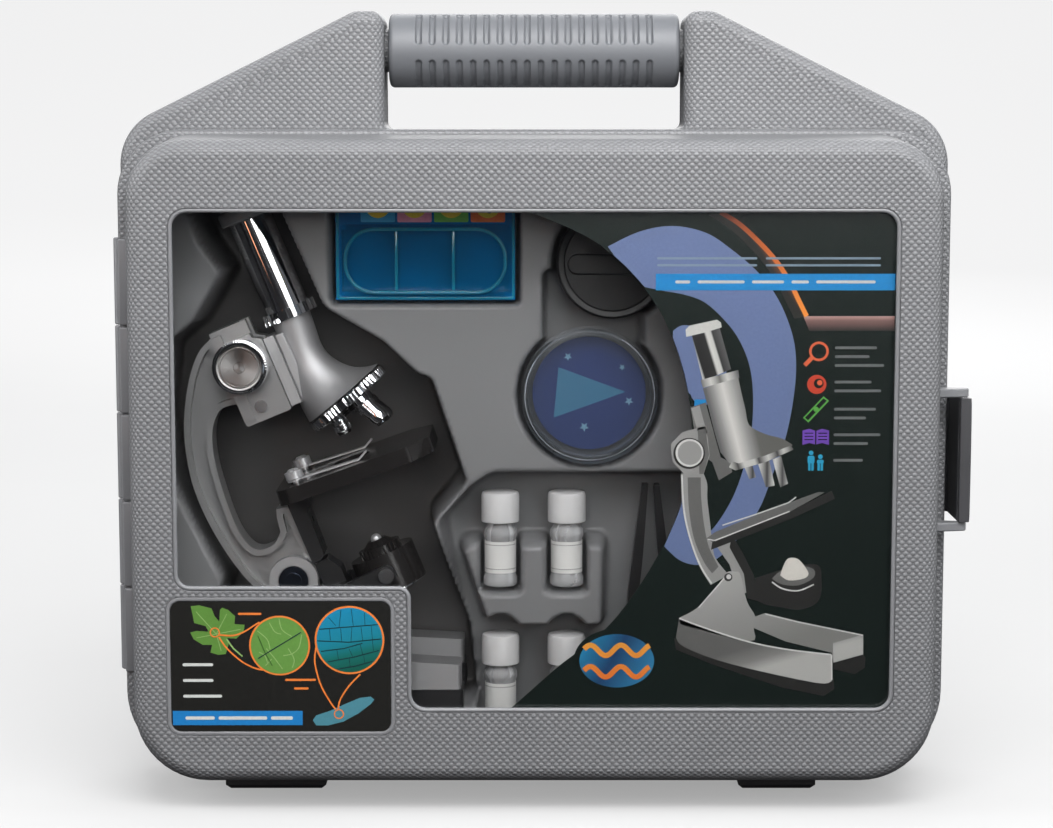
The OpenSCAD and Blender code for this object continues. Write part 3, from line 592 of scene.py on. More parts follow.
# The rim plastic is paler than the hatchery's blue; that paleness is painted highlight on the rim, lip and
# dividers.
HATCHERY_RIM = tinted_clear("blue_rim", (0.01, 0.26, 0.42), (0.2, 0.8, 0.75), 0.85, 0.07)
CAP_WHITE = plastic("cap_white", (0.62, 0.62, 0.62), 0.4, 0.02, 0.02)
PAPER = plastic("vial_paper", (0.72, 0.72, 0.7), 0.7, 0.02, 0.02, 1500.0)
DISH_BLUE = ink("dish_blue", (0.006, 0.032, 0.17), 0.3)
CARD_INK = ink("card", (0.008, 0.014, 0.012), 0.25, 0.15)
ink("label_card", (0.012, 0.012, 0.011), 0.25, 0.15)
CASE_SMOOTH = plastic("case_smooth", (0.175, 0.178, 0.187), 0.36, 0.03, 0.02)
SMOKE = plastic("smoke_plastic", (0.26, 0.27, 0.28), 0.25, 0.05, 0.01)
thin_clear("bulb_glass", (0.95, 0.93, 0.85), 0.5, 0.1, 0.0)
metal("mirror", (0.9, 0.92, 0.93), 0.02, 0.0, 900.0, 0.01)
plastic("battery", (0.45, 0.3, 0.06), 0.3, 0.1, 0.01)

FINISHES["sticker"] = PAPER
OWN_FINISH = {
    "hatchery_cover": HATCHERY_COVER, "latch": LATCH_BLACK, "arm": SILVER_ARM, "focus_housing": SILVER_ARM,
    "stage": STAGE_BLACK, "lamp_cup": STAGE_BLACK, "lamp_ring": STAGE_BLACK, "stage_clip_near": CLIP_STEEL,
    "stage_clip_far": CLIP_STEEL, "clip_posts": CLIP_STEEL, "bulb": CLIP_STEEL,
}


def finish_frame():
    """Every CAD node gets its own finish or that of its material slot, and thick ones soft edges."""
    slots = {s["node"]: s["material_slot"] for s in frame["record"]["subparts"]}
    thin = {"window_pane", "printed_card", "picture_label", "petri_label", "vial_labels",
            "specimen_stickers", "stage_clip_near", "stage_clip_far", "objective_lenses", "eye_lens"}
    for name, node in NODES.items():
        node.data.materials.clear()
        node.data.materials.append(OWN_FINISH.get(name, FINISHES[slots[name]]))
        if name not in thin:
            soften(node, 0.9 if name in ("arm", "focus_housing") else 0.35)


finish_frame()


# ---------- Case ----------

def case_ring(y, distance, corners):
    return [(x, y, z) for x, z in inset(fillet(corners, 12), distance)]


def shrink(ring, distance):
    """A ring moved inwards in its own plane."""
    y = ring[0][1]
    return [(x, y, z) for x, z in inset([(x, z) for x, _, z in ring], distance)]


def rounded_rings(corners, flat_y, turn_y, radius, draft, steps=8):
    """Rings from the parting plane to a rounded edge that ends in a flat face."""
    sign = 1 if turn_y > flat_y else -1
    rings = [case_ring(flat_y, 0, corners), case_ring(turn_y - sign * radius, draft, corners)]
    for k in range(1, steps + 1):
        a = math.pi / 2 * k / steps
        y = turn_y - sign * radius * (1 - math.sin(a))
        rings.append(case_ring(y, draft + radius * (1 - math.cos(a)), corners))
    return rings


SHELL_CORNERS = box_corners(-HALF_W, FLOOR_Z, HALF_W, TOP_Z, 35, 27)
LID_CORNERS = box_corners(-HALF_W + LID_IN, FLOOR_Z + 3, HALF_W - LID_IN, TOP_Z - 2, 32, 26)
REAR_CORNERS = [
    (-HALF_W, FLOOR_Z, 35), (HALF_W, FLOOR_Z, 35), (HALF_W, TOP_Z, 24), (HORN_OUT, HORN_TOP, 8),
    (HORN_IN, HORN_TOP, 5.5), (HORN_IN, TOP_Z, 3), (-HORN_IN, TOP_Z, 3), (-HORN_IN, HORN_TOP, 5.5),
    (-HORN_OUT, HORN_TOP, 8), (-HALF_W, TOP_Z, 24),
]
LATCH_LOW, LATCH_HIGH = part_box("latch")[0].z / MM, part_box("latch")[1].z / MM
BAND = 1.8  # smooth ring round the window and the label
WINDOW = [(-146, 95.3, 5), (-50.6, 95.3, 5), (-50.6, 44.4, 6), (146, 44.4, 6), (146, 248, 6), (-146, 248, 6)]
LABEL = box_corners(-149.4, 34.7, -58.9, 89.2, 4, 4)
HINGE_X = joint("lid_hinge")["pos_m"][0] / MM - CASE_X
HINGE_LOW, HINGE_HIGH, KNUCKLES = 51, 236, 5
KNUCKLE = (HINGE_HIGH - HINGE_LOW) / KNUCKLES
LID_KNUCKLES, CASE_KNUCKLES = (1, 3), (0, 2, 4)
PIN_BORE, KNUCKLE_R, KNUCKLE_GAP = 1.05, 2.4, 0.25


def knuckle_cutter(i):
    ring = circle(HINGE_X, 0, KNUCKLE_R + 0.35, 24)
    low = HINGE_LOW + i * KNUCKLE - KNUCKLE_GAP
    high = low + KNUCKLE + 2 * KNUCKLE_GAP
    return shape_mesh(*loft_data([[(x, y, z) for x, y in ring] for z in (low, high)]))


def knuckle(i, body):
    low = HINGE_LOW + i * KNUCKLE + KNUCKLE_GAP
    top = low + KNUCKLE - 2 * KNUCKLE_GAP
    place = CASE @ Matrix.Translation((HINGE_X, 0, 0))
    round_r = 0.4
    profile = [(PIN_BORE, low), (KNUCKLE_R - round_r, low), (KNUCKLE_R, low + round_r),
               (KNUCKLE_R, top - round_r), (KNUCKLE_R - round_r, top), (PIN_BORE, top), (PIN_BORE, low)]
    lathe(f"hinge_knuckle_{i}", profile, place, body, CASE_SMOOTH, 32)


def lid():
    rim = [case_ring(-0.3, 0, SHELL_CORNERS), case_ring(-RIM_D + 1.5, 0.2, SHELL_CORNERS),
           case_ring(-RIM_D + 0.4, 0.7, SHELL_CORNERS), case_ring(-RIM_D, 1.8, SHELL_CORNERS)]
    body = rounded_rings(LID_CORNERS, -RIM_D, FRONT_Y, EDGE_R, 1.5)
    obj = make("lid_case", *loft_data(rim + body), CASE, "lid", CASE_GREY, 30, ("lid_shell",))
    room = [case_ring(1, WALL, SHELL_CORNERS), case_ring(-RIM_D + WALL, WALL, SHELL_CORNERS)]
    hollow = rounded_rings(LID_CORNERS, -RIM_D + WALL, FRONT_Y + WALL, EDGE_R, 1.5)
    cut(obj, shape_mesh(*loft_data(room + [shrink(ring, WALL) for ring in hollow])))
    window, label = fillet(WINDOW, 6), fillet(LABEL, 6)
    cut(obj, shape_mesh(*prism(inset(window, -BAND), FRONT_Y - 1, FRONT_Y + WALL + 1)))
    cut(obj, shape_mesh(*prism(inset(label, -BAND), FRONT_Y - 1, FRONT_Y + 1.2)))
    for i in CASE_KNUCKLES:
        cut(obj, knuckle_cutter(i))
    sharpen(obj, 32)
    soften(obj, 1.3, 4, 50)
    plate("window_band", inset(window, -BAND), FRONT_Y + 0.1, FRONT_Y + WALL, "lid", CASE_SMOOTH, (window,),
          edge=0.8)
    plate("label_band", inset(label, -BAND), FRONT_Y + 0.1, FRONT_Y + 1.2, "lid", CASE_SMOOTH, (label,),
          edge=0.5)
    for i in range(KNUCKLES):
        low = HINGE_LOW + i * KNUCKLE
        leaf = fillet(box_corners(-HALF_W + 0.3, low + 0.5, -HALF_W + 6.6, low + KNUCKLE - 0.5, 0.6, 0.6), 3)
        plate(f"hinge_leaf_{i}", leaf, -RIM_D - 1.4, -RIM_D + 2, "lid", CASE_SMOOTH, edge=0.5)
    for z in (LATCH_LOW - 4, LATCH_HIGH + 0.3):
        latch_lug(z)
    for i in LID_KNUCKLES:
        knuckle(i, "lid")


def latch_lug(z):
    """Ear on the lid's side that holds one end of the latch pin."""
    pin = middle("latch_pin")
    x, y = pin.x - CASE_X, pin.y
    root = HALF_W - 8.5
    outline = [(root, y + 5), (HALF_W - 4, y + 4), *arc(x, y, 2.3, 60, -60, 16), (HALF_W - 4, y - 4),
               (root, y - 5)]
    ear = make(f"latch_lug_{z:.0f}", *loft_data([[(a, b, h) for a, b in outline] for h in (z, z + 3.7)]),
               CASE, "lid", CASE_SMOOTH)
    soften(ear, 0.6, 3, 40)


def rear():
    front = [case_ring(0.2 + 5 * (1 - math.sin(a)), 5 * (1 - math.cos(a)), REAR_CORNERS)
             for a in np.linspace(math.pi / 2, 0, 7)]
    back = rounded_rings(REAR_CORNERS, 5.2, BACK_Y, 5, 0.4, 6)
    obj = make("rear_case", *loft_data(front + back[1:]), CASE, "case", CASE_GREY, 30, ("rear_shell",))
    hollow = fillet(box_corners(-HALF_W + WALL, FLOOR_Z + WALL, HALF_W - WALL, TOP_Z - WALL, 32.5, 24.5), 10)
    cut(obj, shape_mesh(*prism(hollow, -1, BACK_Y - WALL)))
    for i in LID_KNUCKLES:
        cut(obj, knuckle_cutter(i))
    sharpen(obj, 32)
    soften(obj, 0.8, 3, 50)
    for i in CASE_KNUCKLES:
        knuckle(i, "case")
    catch = [(HALF_W - 3, 4.2), (HALF_W + 1, 4.2), (HALF_W + 1.5, 5), (HALF_W + 1.5, 7.4), (HALF_W - 3, 7.9)]
    make("latch_catch", *loft_data([[(x, y, z) for x, y in catch] for z in (128.2, 159.8)]), CASE, "case",
         CASE_SMOOTH)


def grip():
    """Tubular grip with four rows of finger slots pressed into it."""
    low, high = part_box("handle_grip")
    centre = (low + high) / 2 / MM
    radius = (high.z - low.z) / MM / 2
    length = (high.x - low.x) / MM
    pitch, count, slot_r, depth, slope = 5.7, 18, 1.45, 1.3, 0.75
    end_r = 2.2
    row_half, row_turn = 28, 4  # degrees round the grip
    rings = []
    for x in np.linspace(-length / 2, length / 2, 361):
        end = length / 2 - abs(x)
        edge = end_r - math.sqrt(max(end_r ** 2 - (end_r - min(end, end_r)) ** 2, 0))
        slot = round(x / pitch - 0.5) + 0.5
        near = abs(x - slot * pitch) if abs(slot) < count / 2 else math.inf
        ring = []
        for t in np.radians(np.arange(0, 360, 1.5)):
            angle = (math.degrees(t) + 180 - row_turn) % 90 - 45
            along = max(abs(angle) - row_half, 0) * math.radians(1) * radius
            inside = slot_r - math.hypot(near, along)
            r = radius - edge - depth * np.clip(inside / slope, 0, 1) ** 0.7
            ring.append((x, r * math.cos(t), r * math.sin(t)))
        rings.append(ring)
    place = Matrix.Translation(centre * MM) @ Matrix.Scale(MM, 4)
    make("grip_sleeve", *loft_data(rings), place, "case", GRIP_GREY, 60, ("handle_grip",))


# ---------- Tray ----------

def signed_distance(points, outline):
    """Distance from each point to an outline, negative inside it."""
    poly = np.array(outline, float)
    best = np.full(len(points), 1e9)
    inside = np.zeros(len(points), bool)
    for a, b in zip(poly, np.roll(poly, -1, axis=0)):
        edge = b - a
        w = points - a
        t = np.clip(w @ edge / max(edge @ edge, 1e-12), 0, 1)
        best = np.minimum(best, np.hypot(*(w - t[:, None] * edge).T))
        crosses = (a[1] > points[:, 1]) != (b[1] > points[:, 1])
        at_x = a[0] + (points[:, 1] - a[1]) * edge[0] / (edge[1] if abs(edge[1]) > 1e-12 else 1e-12)
        inside ^= crosses & (points[:, 0] < at_x)
    return np.where(inside, -best, best)


SCOPE_POCKET = [
    (-154, 272, 3), (-98, 272, 4), (-106.5, 246, 3), (-89, 206, 8), (-64, 191.5, 5), (-50, 178, 3),
    (-44, 176, 4), (-29.4, 132, 4), (-44, 115, 6), (-27, 66, 5), (-23.5, 34, 4), (-150, 34, 4),
    (-132, 90, 6), (-152, 130, 12), (-159, 160, 12), (-155, 190, 8), (-143, 200, 3), (-130.5, 221, 2),
    (-139.5, 234, 6),
]
LOWER_RECESS = [(-23, 20, 3), (70, 20, 3), (70, 136, 3), (-18, 136, 8), (-27, 130, 5), (-40, 115, 5)]
VIAL_BLOCK = [(-21, 68, 5), (31, 68, 4), (32, 107, 4), (-34, 107, 5)]
VIAL_X = (-14.4, 14)
DISH = middle("petri_lid")
CUP = middle("sample_cup")


def s_curve(t):
    """0 to 1 along an S, held beyond its ends."""
    t = np.clip(t, 0, 1)
    return t * t * (3 - 2 * t)


def tray():
    """One vacuum-formed sheet with drafted pockets, as a height over a fine grid."""
    step = 1.15
    side, low, top = HALF_W - TRAY_IN, FLOOR_Z + TRAY_IN, TOP_Z - TRAY_IN
    rim = fillet(box_corners(-side, low, side, top, 31.8, 23.8), 10)
    xs = np.arange(-side, side + step, step)
    zs = np.arange(low, top + step, step)
    grid = np.stack(np.meshgrid(xs, zs, indexing="ij"), axis=-1).reshape(-1, 2)

    def inside(outline, lip, draft):
        """1 inside an outline and 0 outside it; the wall leans over draft millimetres."""
        return s_curve((lip - signed_distance(grid, outline)) / draft)

    def dent(height, outline, floor, draft):
        """Presses an outline down to a floor."""
        return np.maximum(height, rim_y + (floor - TRAY_Y) * inside(outline, 1.2, draft))

    rim_y = TRAY_Y + 0.3
    y = np.full(len(grid), rim_y)
    y = dent(y, fillet(LOWER_RECESS, 4), 21, 4)
    block = inside(fillet(VIAL_BLOCK, 4), 0.5, 3.5)
    notch = np.zeros(len(grid))
    for x in VIAL_X:
        slot = fillet(box_corners(x - 8.9, 84, x + 8.9, 118, 2, 2), 3)
        end = np.hypot(grid[:, 0] - x, grid[:, 1] - 66) - 9.4
        notch = np.maximum(notch, np.maximum(inside(slot, 0.6, 2.2), s_curve(-end / 2.2)))
    raised = block * (1 - notch)
    y = y * (1 - raised) + np.minimum(y, TRAY_Y + 1.4) * raised
    y = dent(y, fillet(box_corners(-85, 208, -6.4, 262, 2, 2), 4), 15.2, 2.2)
    y = dent(y, circle(DISH.x - CASE_X, DISH.z, 30.2), 19, 2.5)
    y = dent(y, circle(CUP.x - CASE_X, CUP.z, 25.2), 20, 2.5)
    y = dent(y, fillet(box_corners(4, 190, 46, 222, 3, 3), 3), 19, 2.5)
    y = dent(y, fillet(SCOPE_POCKET, 6), POCKET_Y, 3.4)
    edge = signed_distance(grid, rim)
    hollow = np.clip((-edge - 0.2) / 1.5, 0, 1)
    keep = edge < step
    outside = (edge > 0) & keep
    if outside.any():
        h = 0.05
        gx = signed_distance(grid[outside] + (h, 0), rim) - edge[outside]
        gz = signed_distance(grid[outside] + (0, h), rim) - edge[outside]
        push = np.stack([gx, gz], axis=1) / h
        push /= np.maximum(np.linalg.norm(push, axis=1, keepdims=True), 1e-9)
        grid[outside] -= push * edge[outside][:, None]
    verts = [(gx_, yy + 0.8 * (1 - hh), gz_) for (gx_, gz_), yy, hh in zip(grid, y, hollow)]
    nz = len(zs)
    faces = []
    for i in range(len(xs) - 1):
        for k in range(nz - 1):
            a = i * nz + k
            quad = (a, a + nz, a + nz + 1, a + 1)
            if all(keep[q] for q in quad) and any(edge[q] < 0 for q in quad):
                faces.append(quad)
    used = sorted({q for f in faces for q in f})
    index = {q: n for n, q in enumerate(used)}
    faces = [tuple(index[q] for q in f) for f in faces]
    make("tray_sheet", [verts[q] for q in used], faces, CASE, "case", TRAY_GREY, 180, ("tray",))


lid()
rear()
grip()
tray()


# ---------- Latch ----------

def latch():
    """Snap latch that bulges at mid-height, with a thumb dimple."""
    low, high = (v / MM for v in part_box("latch"))
    inner = middle("latch_pin").x - CASE_X
    face = high.x - CASE_X
    rings = []
    for z in np.linspace(low.z, high.z, 65):
        t = abs(z - (low.z + high.z) / 2) / ((high.z - low.z) / 2)
        bulge = 2.4 * t ** 2.5 + 2.6 * max((t - 0.88) / 0.12, 0) ** 2
        outline = fillet([
            (inner - 1.4, low.y + 0.4, 0.5), (inner + 3.4, low.y + 0.2, 1), (face - bulge, -1, 8),
            (max(inner + 0.6, face - bulge - 3.4), high.y, 1), (HALF_W + 2.2, high.y, 0.5),
            (HALF_W + 2.2, 9, 0.3), (inner - 1.4, 7.5, 0.5)], 5)
        rings.append([(x, y, z) for x, y in outline])
    obj = make("latch_body", *loft_data(rings), CASE, "latch", LATCH_BLACK, 40, ("latch",))
    bore = circle(inner, middle("latch_pin").y, 1.56, 24)
    cut(obj, shape_mesh(*loft_data([[(x, y, z) for x, y in bore] for z in (low.z - 1, high.z + 1)])))
    dimple_y, dimple_z = -3, 151
    ball = []
    for a in np.linspace(0, math.pi, 13)[1:-1]:
        across, up = 3.1 * math.sin(a), 4.2 * math.sin(a)
        ball.append([(face + 0.4 + 1.8 * math.cos(a), dimple_y + across * math.cos(b),
                      dimple_z + up * math.sin(b)) for b in turns(24)])
    cut(obj, shape_mesh(*loft_data(ball)))
    soften(obj, 0.5, 3, 40)


# ---------- Accessories ----------

def in_case(x, y, z, axis="Z"):
    """Matrix with its Z axis along the case's Z, or along its -Y towards the window."""
    turn = Matrix.Rotation(math.pi / 2, 4, "X") if axis == "Y" else Matrix.Identity(4)
    return CASE @ Matrix.Translation((x, y, z)) @ turn


def dish():
    x, z = DISH.x - CASE_X, DISH.z
    r = (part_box("petri_lid")[1].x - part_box("petri_lid")[0].x) / MM / 2
    place = in_case(x, 0, z, "Y")
    lathe("dish_base", [(0, -6), (r - 2.6, -6), (r - 2.05, -5.5), (r - 2.05, 5.7), (r - 2.4, 6),
                        (r - 3.1, 5.7), (r - 3.3, -4.2), (r - 4, -4.8), (0, -4.8)],
          place, "dish", DISH_CLEAR, 128, 30, ("petri_dish",))
    lathe("dish_cover", [(0, 8), (r - 0.6, 8), (r, 7.4), (r, -3), (r - 1.1, -3), (r - 1.2, 6.2),
                         (r - 1.7, 6.7), (0, 6.7)],
          place, "dish_lid", DISH_CLEAR, 128, 30, ("petri_lid",))
    lathe("dish_print", [(0, -4.4), (r - 4.6, -4.4), (r - 4.6, -4.75), (0, -4.75)],
          place, "dish", DISH_BLUE, 128, 30, ("petri_label",))
    aqua = ink("dish_aqua", (0.03, 0.2, 0.36), 0.4)
    plate("dish_triangle", [(x - 15, z - 10.5), (x + 15.5, z + 0.5), (x - 13, z + 11)], 4.33, 4.38, "dish",
          aqua)
    pale = ink("dish_pale", (0.2, 0.42, 0.6), 0.4)
    for i, (sx, sz, size) in enumerate([(-9, 15.5, 1.9), (14, 11, 1.5), (17, -3.5, 2.0), (-2, -14.5, 2.2)]):
        star = [(x + sx + size * (1 if k % 2 else 0.42) * math.sin(k * math.pi / 5),
                 z + sz + size * (1 if k % 2 else 0.42) * math.cos(k * math.pi / 5)) for k in range(10)]
        plate(f"dish_star_{i}", star, 4.31, 4.36, "dish", pale)


def cup():
    x, z = CUP.x - CASE_X, CUP.z
    place = in_case(x, 0, z, "Y")
    lathe("cup_body", [(0, -1), (20, -1), (20.6, -0.4), (22.6, -0.1), (23.5, -0.9), (23.5, -2),
                       (22.9, -2.4), (22.9, -17), (22, -17.8), (21.4, -17), (21.4, -3), (20.9, -2.6),
                       (0, -2.6)],
          place, "cup", BLACK, 128, 30, ("sample_cup",))
    outline = bar(x - 19, z - 4.9, 38, 8.8, 4.3, 8)
    handle = plate("cup_handle", outline, -1.15, 1.2, "cup", BLACK)
    soften(handle, 0.7, 4, 40)


DOT_FACES = ((0, 2, 4, 6), (1, 3, 5, 7), (0, 1, 3, 2), (2, 3, 5, 4), (4, 5, 7, 6), (6, 7, 1, 0))


def vials():
    """Two rows of vials with caps; dotted lines run round the front of each paper label."""
    x_places, bottoms, vial_y = VIAL_X, (86.4, 24.6), 6
    glass = [(0, 0), (6.2, 0), (7.1, 0.7), (7.2, 3.6), (6.5, 5.2), (6.5, 20.2), (7.2, 21.8), (7.1, 24),
             (5.2, 27), (5, 28), (5, 37), (4.3, 37), (4.3, 27.4), (6, 23.8), (5.9, 1.6), (0, 1.4)]
    cap = [(5.1, 0), (7.8, 0), (8.1, 0.3), (8.15, 11.2), (7.7, 12.6), (6.6, 13), (0, 13), (0, 11), (5.1, 11)]
    for n, (bottom, x) in enumerate(itertools.product(bottoms, x_places)):
        last = n == 3
        lathe(f"vial_glass_{n}", glass, in_case(x, vial_y, bottom), "case", VIAL_CLEAR, 64, 30,
              ("vials",) if last else ())
        lathe(f"vial_cap_{n}", cap, in_case(x, vial_y, bottom + 27.7), "case", CAP_WHITE, 72, 30,
              ("vial_caps",) if last else ())
    paper_r = x_places[0] + CASE_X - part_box("vial_labels")[0].x / MM
    dot = ink("vial_dots", (0.03, 0.03, 0.03), 0.5)
    half_angle, height = 0.028, 0.4
    for i, j, k in itertools.product(range(2), repeat=3):
        verts, faces = [], []
        for a in np.radians(np.arange(200, 341, 7.0)):
            first = len(verts)
            for da, dz in ((-half_angle, 0), (half_angle, 0), (half_angle, height), (-half_angle, height)):
                for r in (paper_r + 0.01, paper_r + 0.05):
                    verts.append((r * math.cos(a + da), r * math.sin(a + da), (7.6, 18)[k] + dz))
            faces += [tuple(first + q for q in face) for face in DOT_FACES]
        make(f"vial_dots_{i}{j}{k}", verts, faces, in_case(x_places[j], vial_y, bottoms[i]), "case", dot,
             180)


STICKER_INKS = [(0.03, 0.42, 0.75), (0.85, 0.35, 0.5), (0.16, 0.55, 0.08), (0.85, 0.18, 0.04)]
YELLOW = ink("sticker_yellow", (0.9, 0.72, 0.08), 0.4)


def hatchery():
    """Tinted hatchery with a raised rim, a domed cover and four printed stickers."""
    stadium = fillet(box_corners(-80, 212, -11.4, 240, 13, 13), 12)
    # Rim, dividers and lip take the rim plastic, whose paler colour is painted highlight.
    plate("hatchery_rim", stadium, -2.6, -1.0, "hatchery_cover", HATCHERY_RIM, (inset(stadium, 1.4),),
          edge=0.6)
    for x in (-57.9, -33.9):
        wall = bar(x - 0.6, 213.6, 1.2, 24.8, 0.5, 3)
        plate(f"hatchery_divider_{x:.0f}", wall, -1.5, -1.0, "hatchery_cover", HATCHERY_RIM, edge=0.2)
    border = fillet(box_corners(-83.2, 209.7, -8.2, 257.8, 1.5, 1.5), 4)
    plate("hatchery_lip", border, -0.3, 1.5, "hatchery", HATCHERY_RIM, (inset(border, 1.1),), edge=0.25)
    dots = ink("sticker_thread", (0.02, 0.02, 0.02), 0.4)
    side, gap, first_x, low_z = 14.4, 1.0, -72.8, 242.2
    for i, colour in enumerate(STICKER_INKS):
        x0 = first_x + i * (side + gap)
        square = bar(x0, low_z, side, side, 0.6, 3)
        plate(f"sticker_{i}", square, -0.24, -0.02, "hatchery", ink(f"sticker_ink_{i}", colour, 0.4),
              replaces=("specimen_stickers",) if i == 3 else ())
        cx, cz = x0 + side / 2, low_z + 7
        plate(f"sticker_disc_{i}", circle(cx, cz, 5.3, 40), -0.27, -0.24, "hatchery", YELLOW)
        if i < 3:
            trail = curve([(cx - 3.2, cz - 1 + i), (cx - 1, cz + 2 - i), (cx + 1, cz - 1.2),
                           (cx + 3.2, cz + 1.8)], 5)
            line = [(x, z + 0.3) for x, z in trail] + [(x, z - 0.3) for x, z in reversed(trail)]
            plate(f"sticker_mark_{i}", line, -0.29, -0.27, "hatchery", dots)
        else:
            for k, (dx, dz, rr) in enumerate([(-1.8, 1, 1.3), (1.6, 1.6, 1), (0.6, -2, 1.4)]):
                plate(f"sticker_spot_{k}", circle(cx + dx, cz + dz, rr, 20), -0.29, -0.27, "hatchery", dots)


# ---------- Printed card and label ----------

CARD_Y = FRONT_Y + 4.0
LAYER = 0.04
print_numbers = itertools.count(1)


def printed(outline, material, layer=0, holes=(), y=CARD_Y):
    """One flat colour of the print; a higher layer lies nearer the window."""
    top = y - 0.02 - layer * LAYER
    return plate(f"print_{next(print_numbers):02d}", outline, top, top + 0.03, "lid", material, holes)


def band(points, width):
    """Outline of a stroke along a line of points."""
    p = np.array(points, float)
    d = np.gradient(p, axis=0)
    d /= np.maximum(np.linalg.norm(d, axis=1, keepdims=True), 1e-9)
    side = np.stack([-d[:, 1], d[:, 0]], axis=1) * width / 2
    return [tuple(q) for q in p + side] + [tuple(q) for q in (p - side)[::-1]]


ORANGE = ink("ink_orange", (0.66, 0.17, 0.03))
PALE = ink("ink_pale", (0.5, 0.52, 0.5))
BAR_BLUE = ink("ink_blue", (0.01, 0.16, 0.42))
CARD_EDGE = curve([(-12, 41.4), (8, 59.5), (34.4, 82.6), (57.5, 122), (64.4, 160), (53, 204), (27, 234.5),
                   (-10, 251)], 6)
RING_BLUE = ink("ink_ring", (0.13, 0.178, 0.33))
SKY = ink("ink_sky", (0.004, 0.22, 0.52))
CAPTION = ink("ink_caption", (0.14, 0.15, 0.15))


def edge_part(low_z, high_z):
    """Stretch of the card's curved edge between two heights, going up."""
    return [(x + 0.25, z) for x, z in CARD_EDGE if low_z < z < high_z]


def card_art():
    """The card's blue ring, glowing arc, title bars, list of captions and pictures."""
    outer = curve([(29.6, 234.2), (42.3, 240.2), (55.7, 242.5), (69.1, 239.8), (79.8, 232.9), (90.7, 223.5),
                   (98.8, 212.7), (104.4, 199.3), (106.3, 187.1), (105.4, 172.2), (102.3, 155.8),
                   (97.7, 142.2), (91.5, 126), (81.1, 112), (73, 105.1), (66.2, 103.7), (59.4, 105.8),
                   (53.2, 111.4)], 5)
    inner = curve([(60.6, 131), (64, 121), (68, 117.2), (72.9, 118.5), (80.9, 131.2), (86.1, 146.3),
                   (88.7, 161.3), (88.8, 176.3), (87, 187.1), (82.9, 196.6), (77.4, 204), (69.3, 211.4),
                   (61.2, 214.6), (53.2, 216.1), (44.6, 217.8)], 5)
    ring = outer + edge_part(111.6, 130) + inner + edge_part(218, 233.8)
    printed(ring, RING_BLUE, 0)
    core = curve([(56.2, 200), (59, 202), (62.7, 202.2), (68.1, 199.9), (73.5, 193.9), (78, 184), (76, 173),
                  (68, 169.5), (64.6, 172), (63.6, 174)], 4)
    printed(core + edge_part(174.5, 198), RING_BLUE, 0)
    printed([(65.2, 172), (70, 172), (69, 162), (64.9, 163)], SKY, 1)
    glow = curve([(75, 248), (82.4, 243.5), (90.5, 236.2), (97.3, 228.8), (102.8, 220.8), (106.9, 212.7),
                  (110.3, 206)], 6)
    faint = tone("ink_glow", (98, 222), (104, 226), [(0, (0.012, 0.012, 0.01)), (1, (0.3, 0.09, 0.03))])
    printed(glow + [(x - 5, z - 1) for x, z in reversed(glow)], faint, 1)
    printed(band(glow, 1.9), tone("ink_fire", (80, 246), (110, 206),
                                  [(0, (0.22, 0.04, 0.01)), (0.5, (0.62, 0.14, 0.02)),
                                   (1, (0.85, 0.28, 0.04))]), 2)
    printed([(109, 206), (146, 206), (146, 200), (111.5, 200)],
            tone("ink_pink", (120, 206), (120, 200), [(0, (0.5, 0.3, 0.27)), (0.3, (0.2, 0.11, 0.1)),
                                                      (1, (0.009, 0.012, 0.01))]), 1)
    printed([(49.1, 216.5), (146, 216.5), (146, 223.2), (49.1, 223.2)], SKY, 3)
    title = ink("ink_title", (0.2, 0.27, 0.34), 0.3)
    for x, width in ((49.6, 40.4), (93.5, 46.5)):
        for z in (226.2, 229):
            printed(bar(x, z, width, 0.9, 0.4), title, 3)
    for x, width in ((57, 6), (66, 19), (88, 13), (104, 7), (114, 24)):
        printed(bar(x, 219.3, width, 1.2, 0.5), PALE, 4)
    for top, widths in ((192.6, (17, 14, 20)), (178.6, (15, 19)), (167.5, (17, 13)), (157, (19, 14)),
                        (146.5, (12,))):
        for i, width in enumerate(widths):
            printed(bar(122, top - 3.6 * i, width, 1.1, 0.4), CAPTION, 2)
    printed_microscope()
    icons()
    emblem()


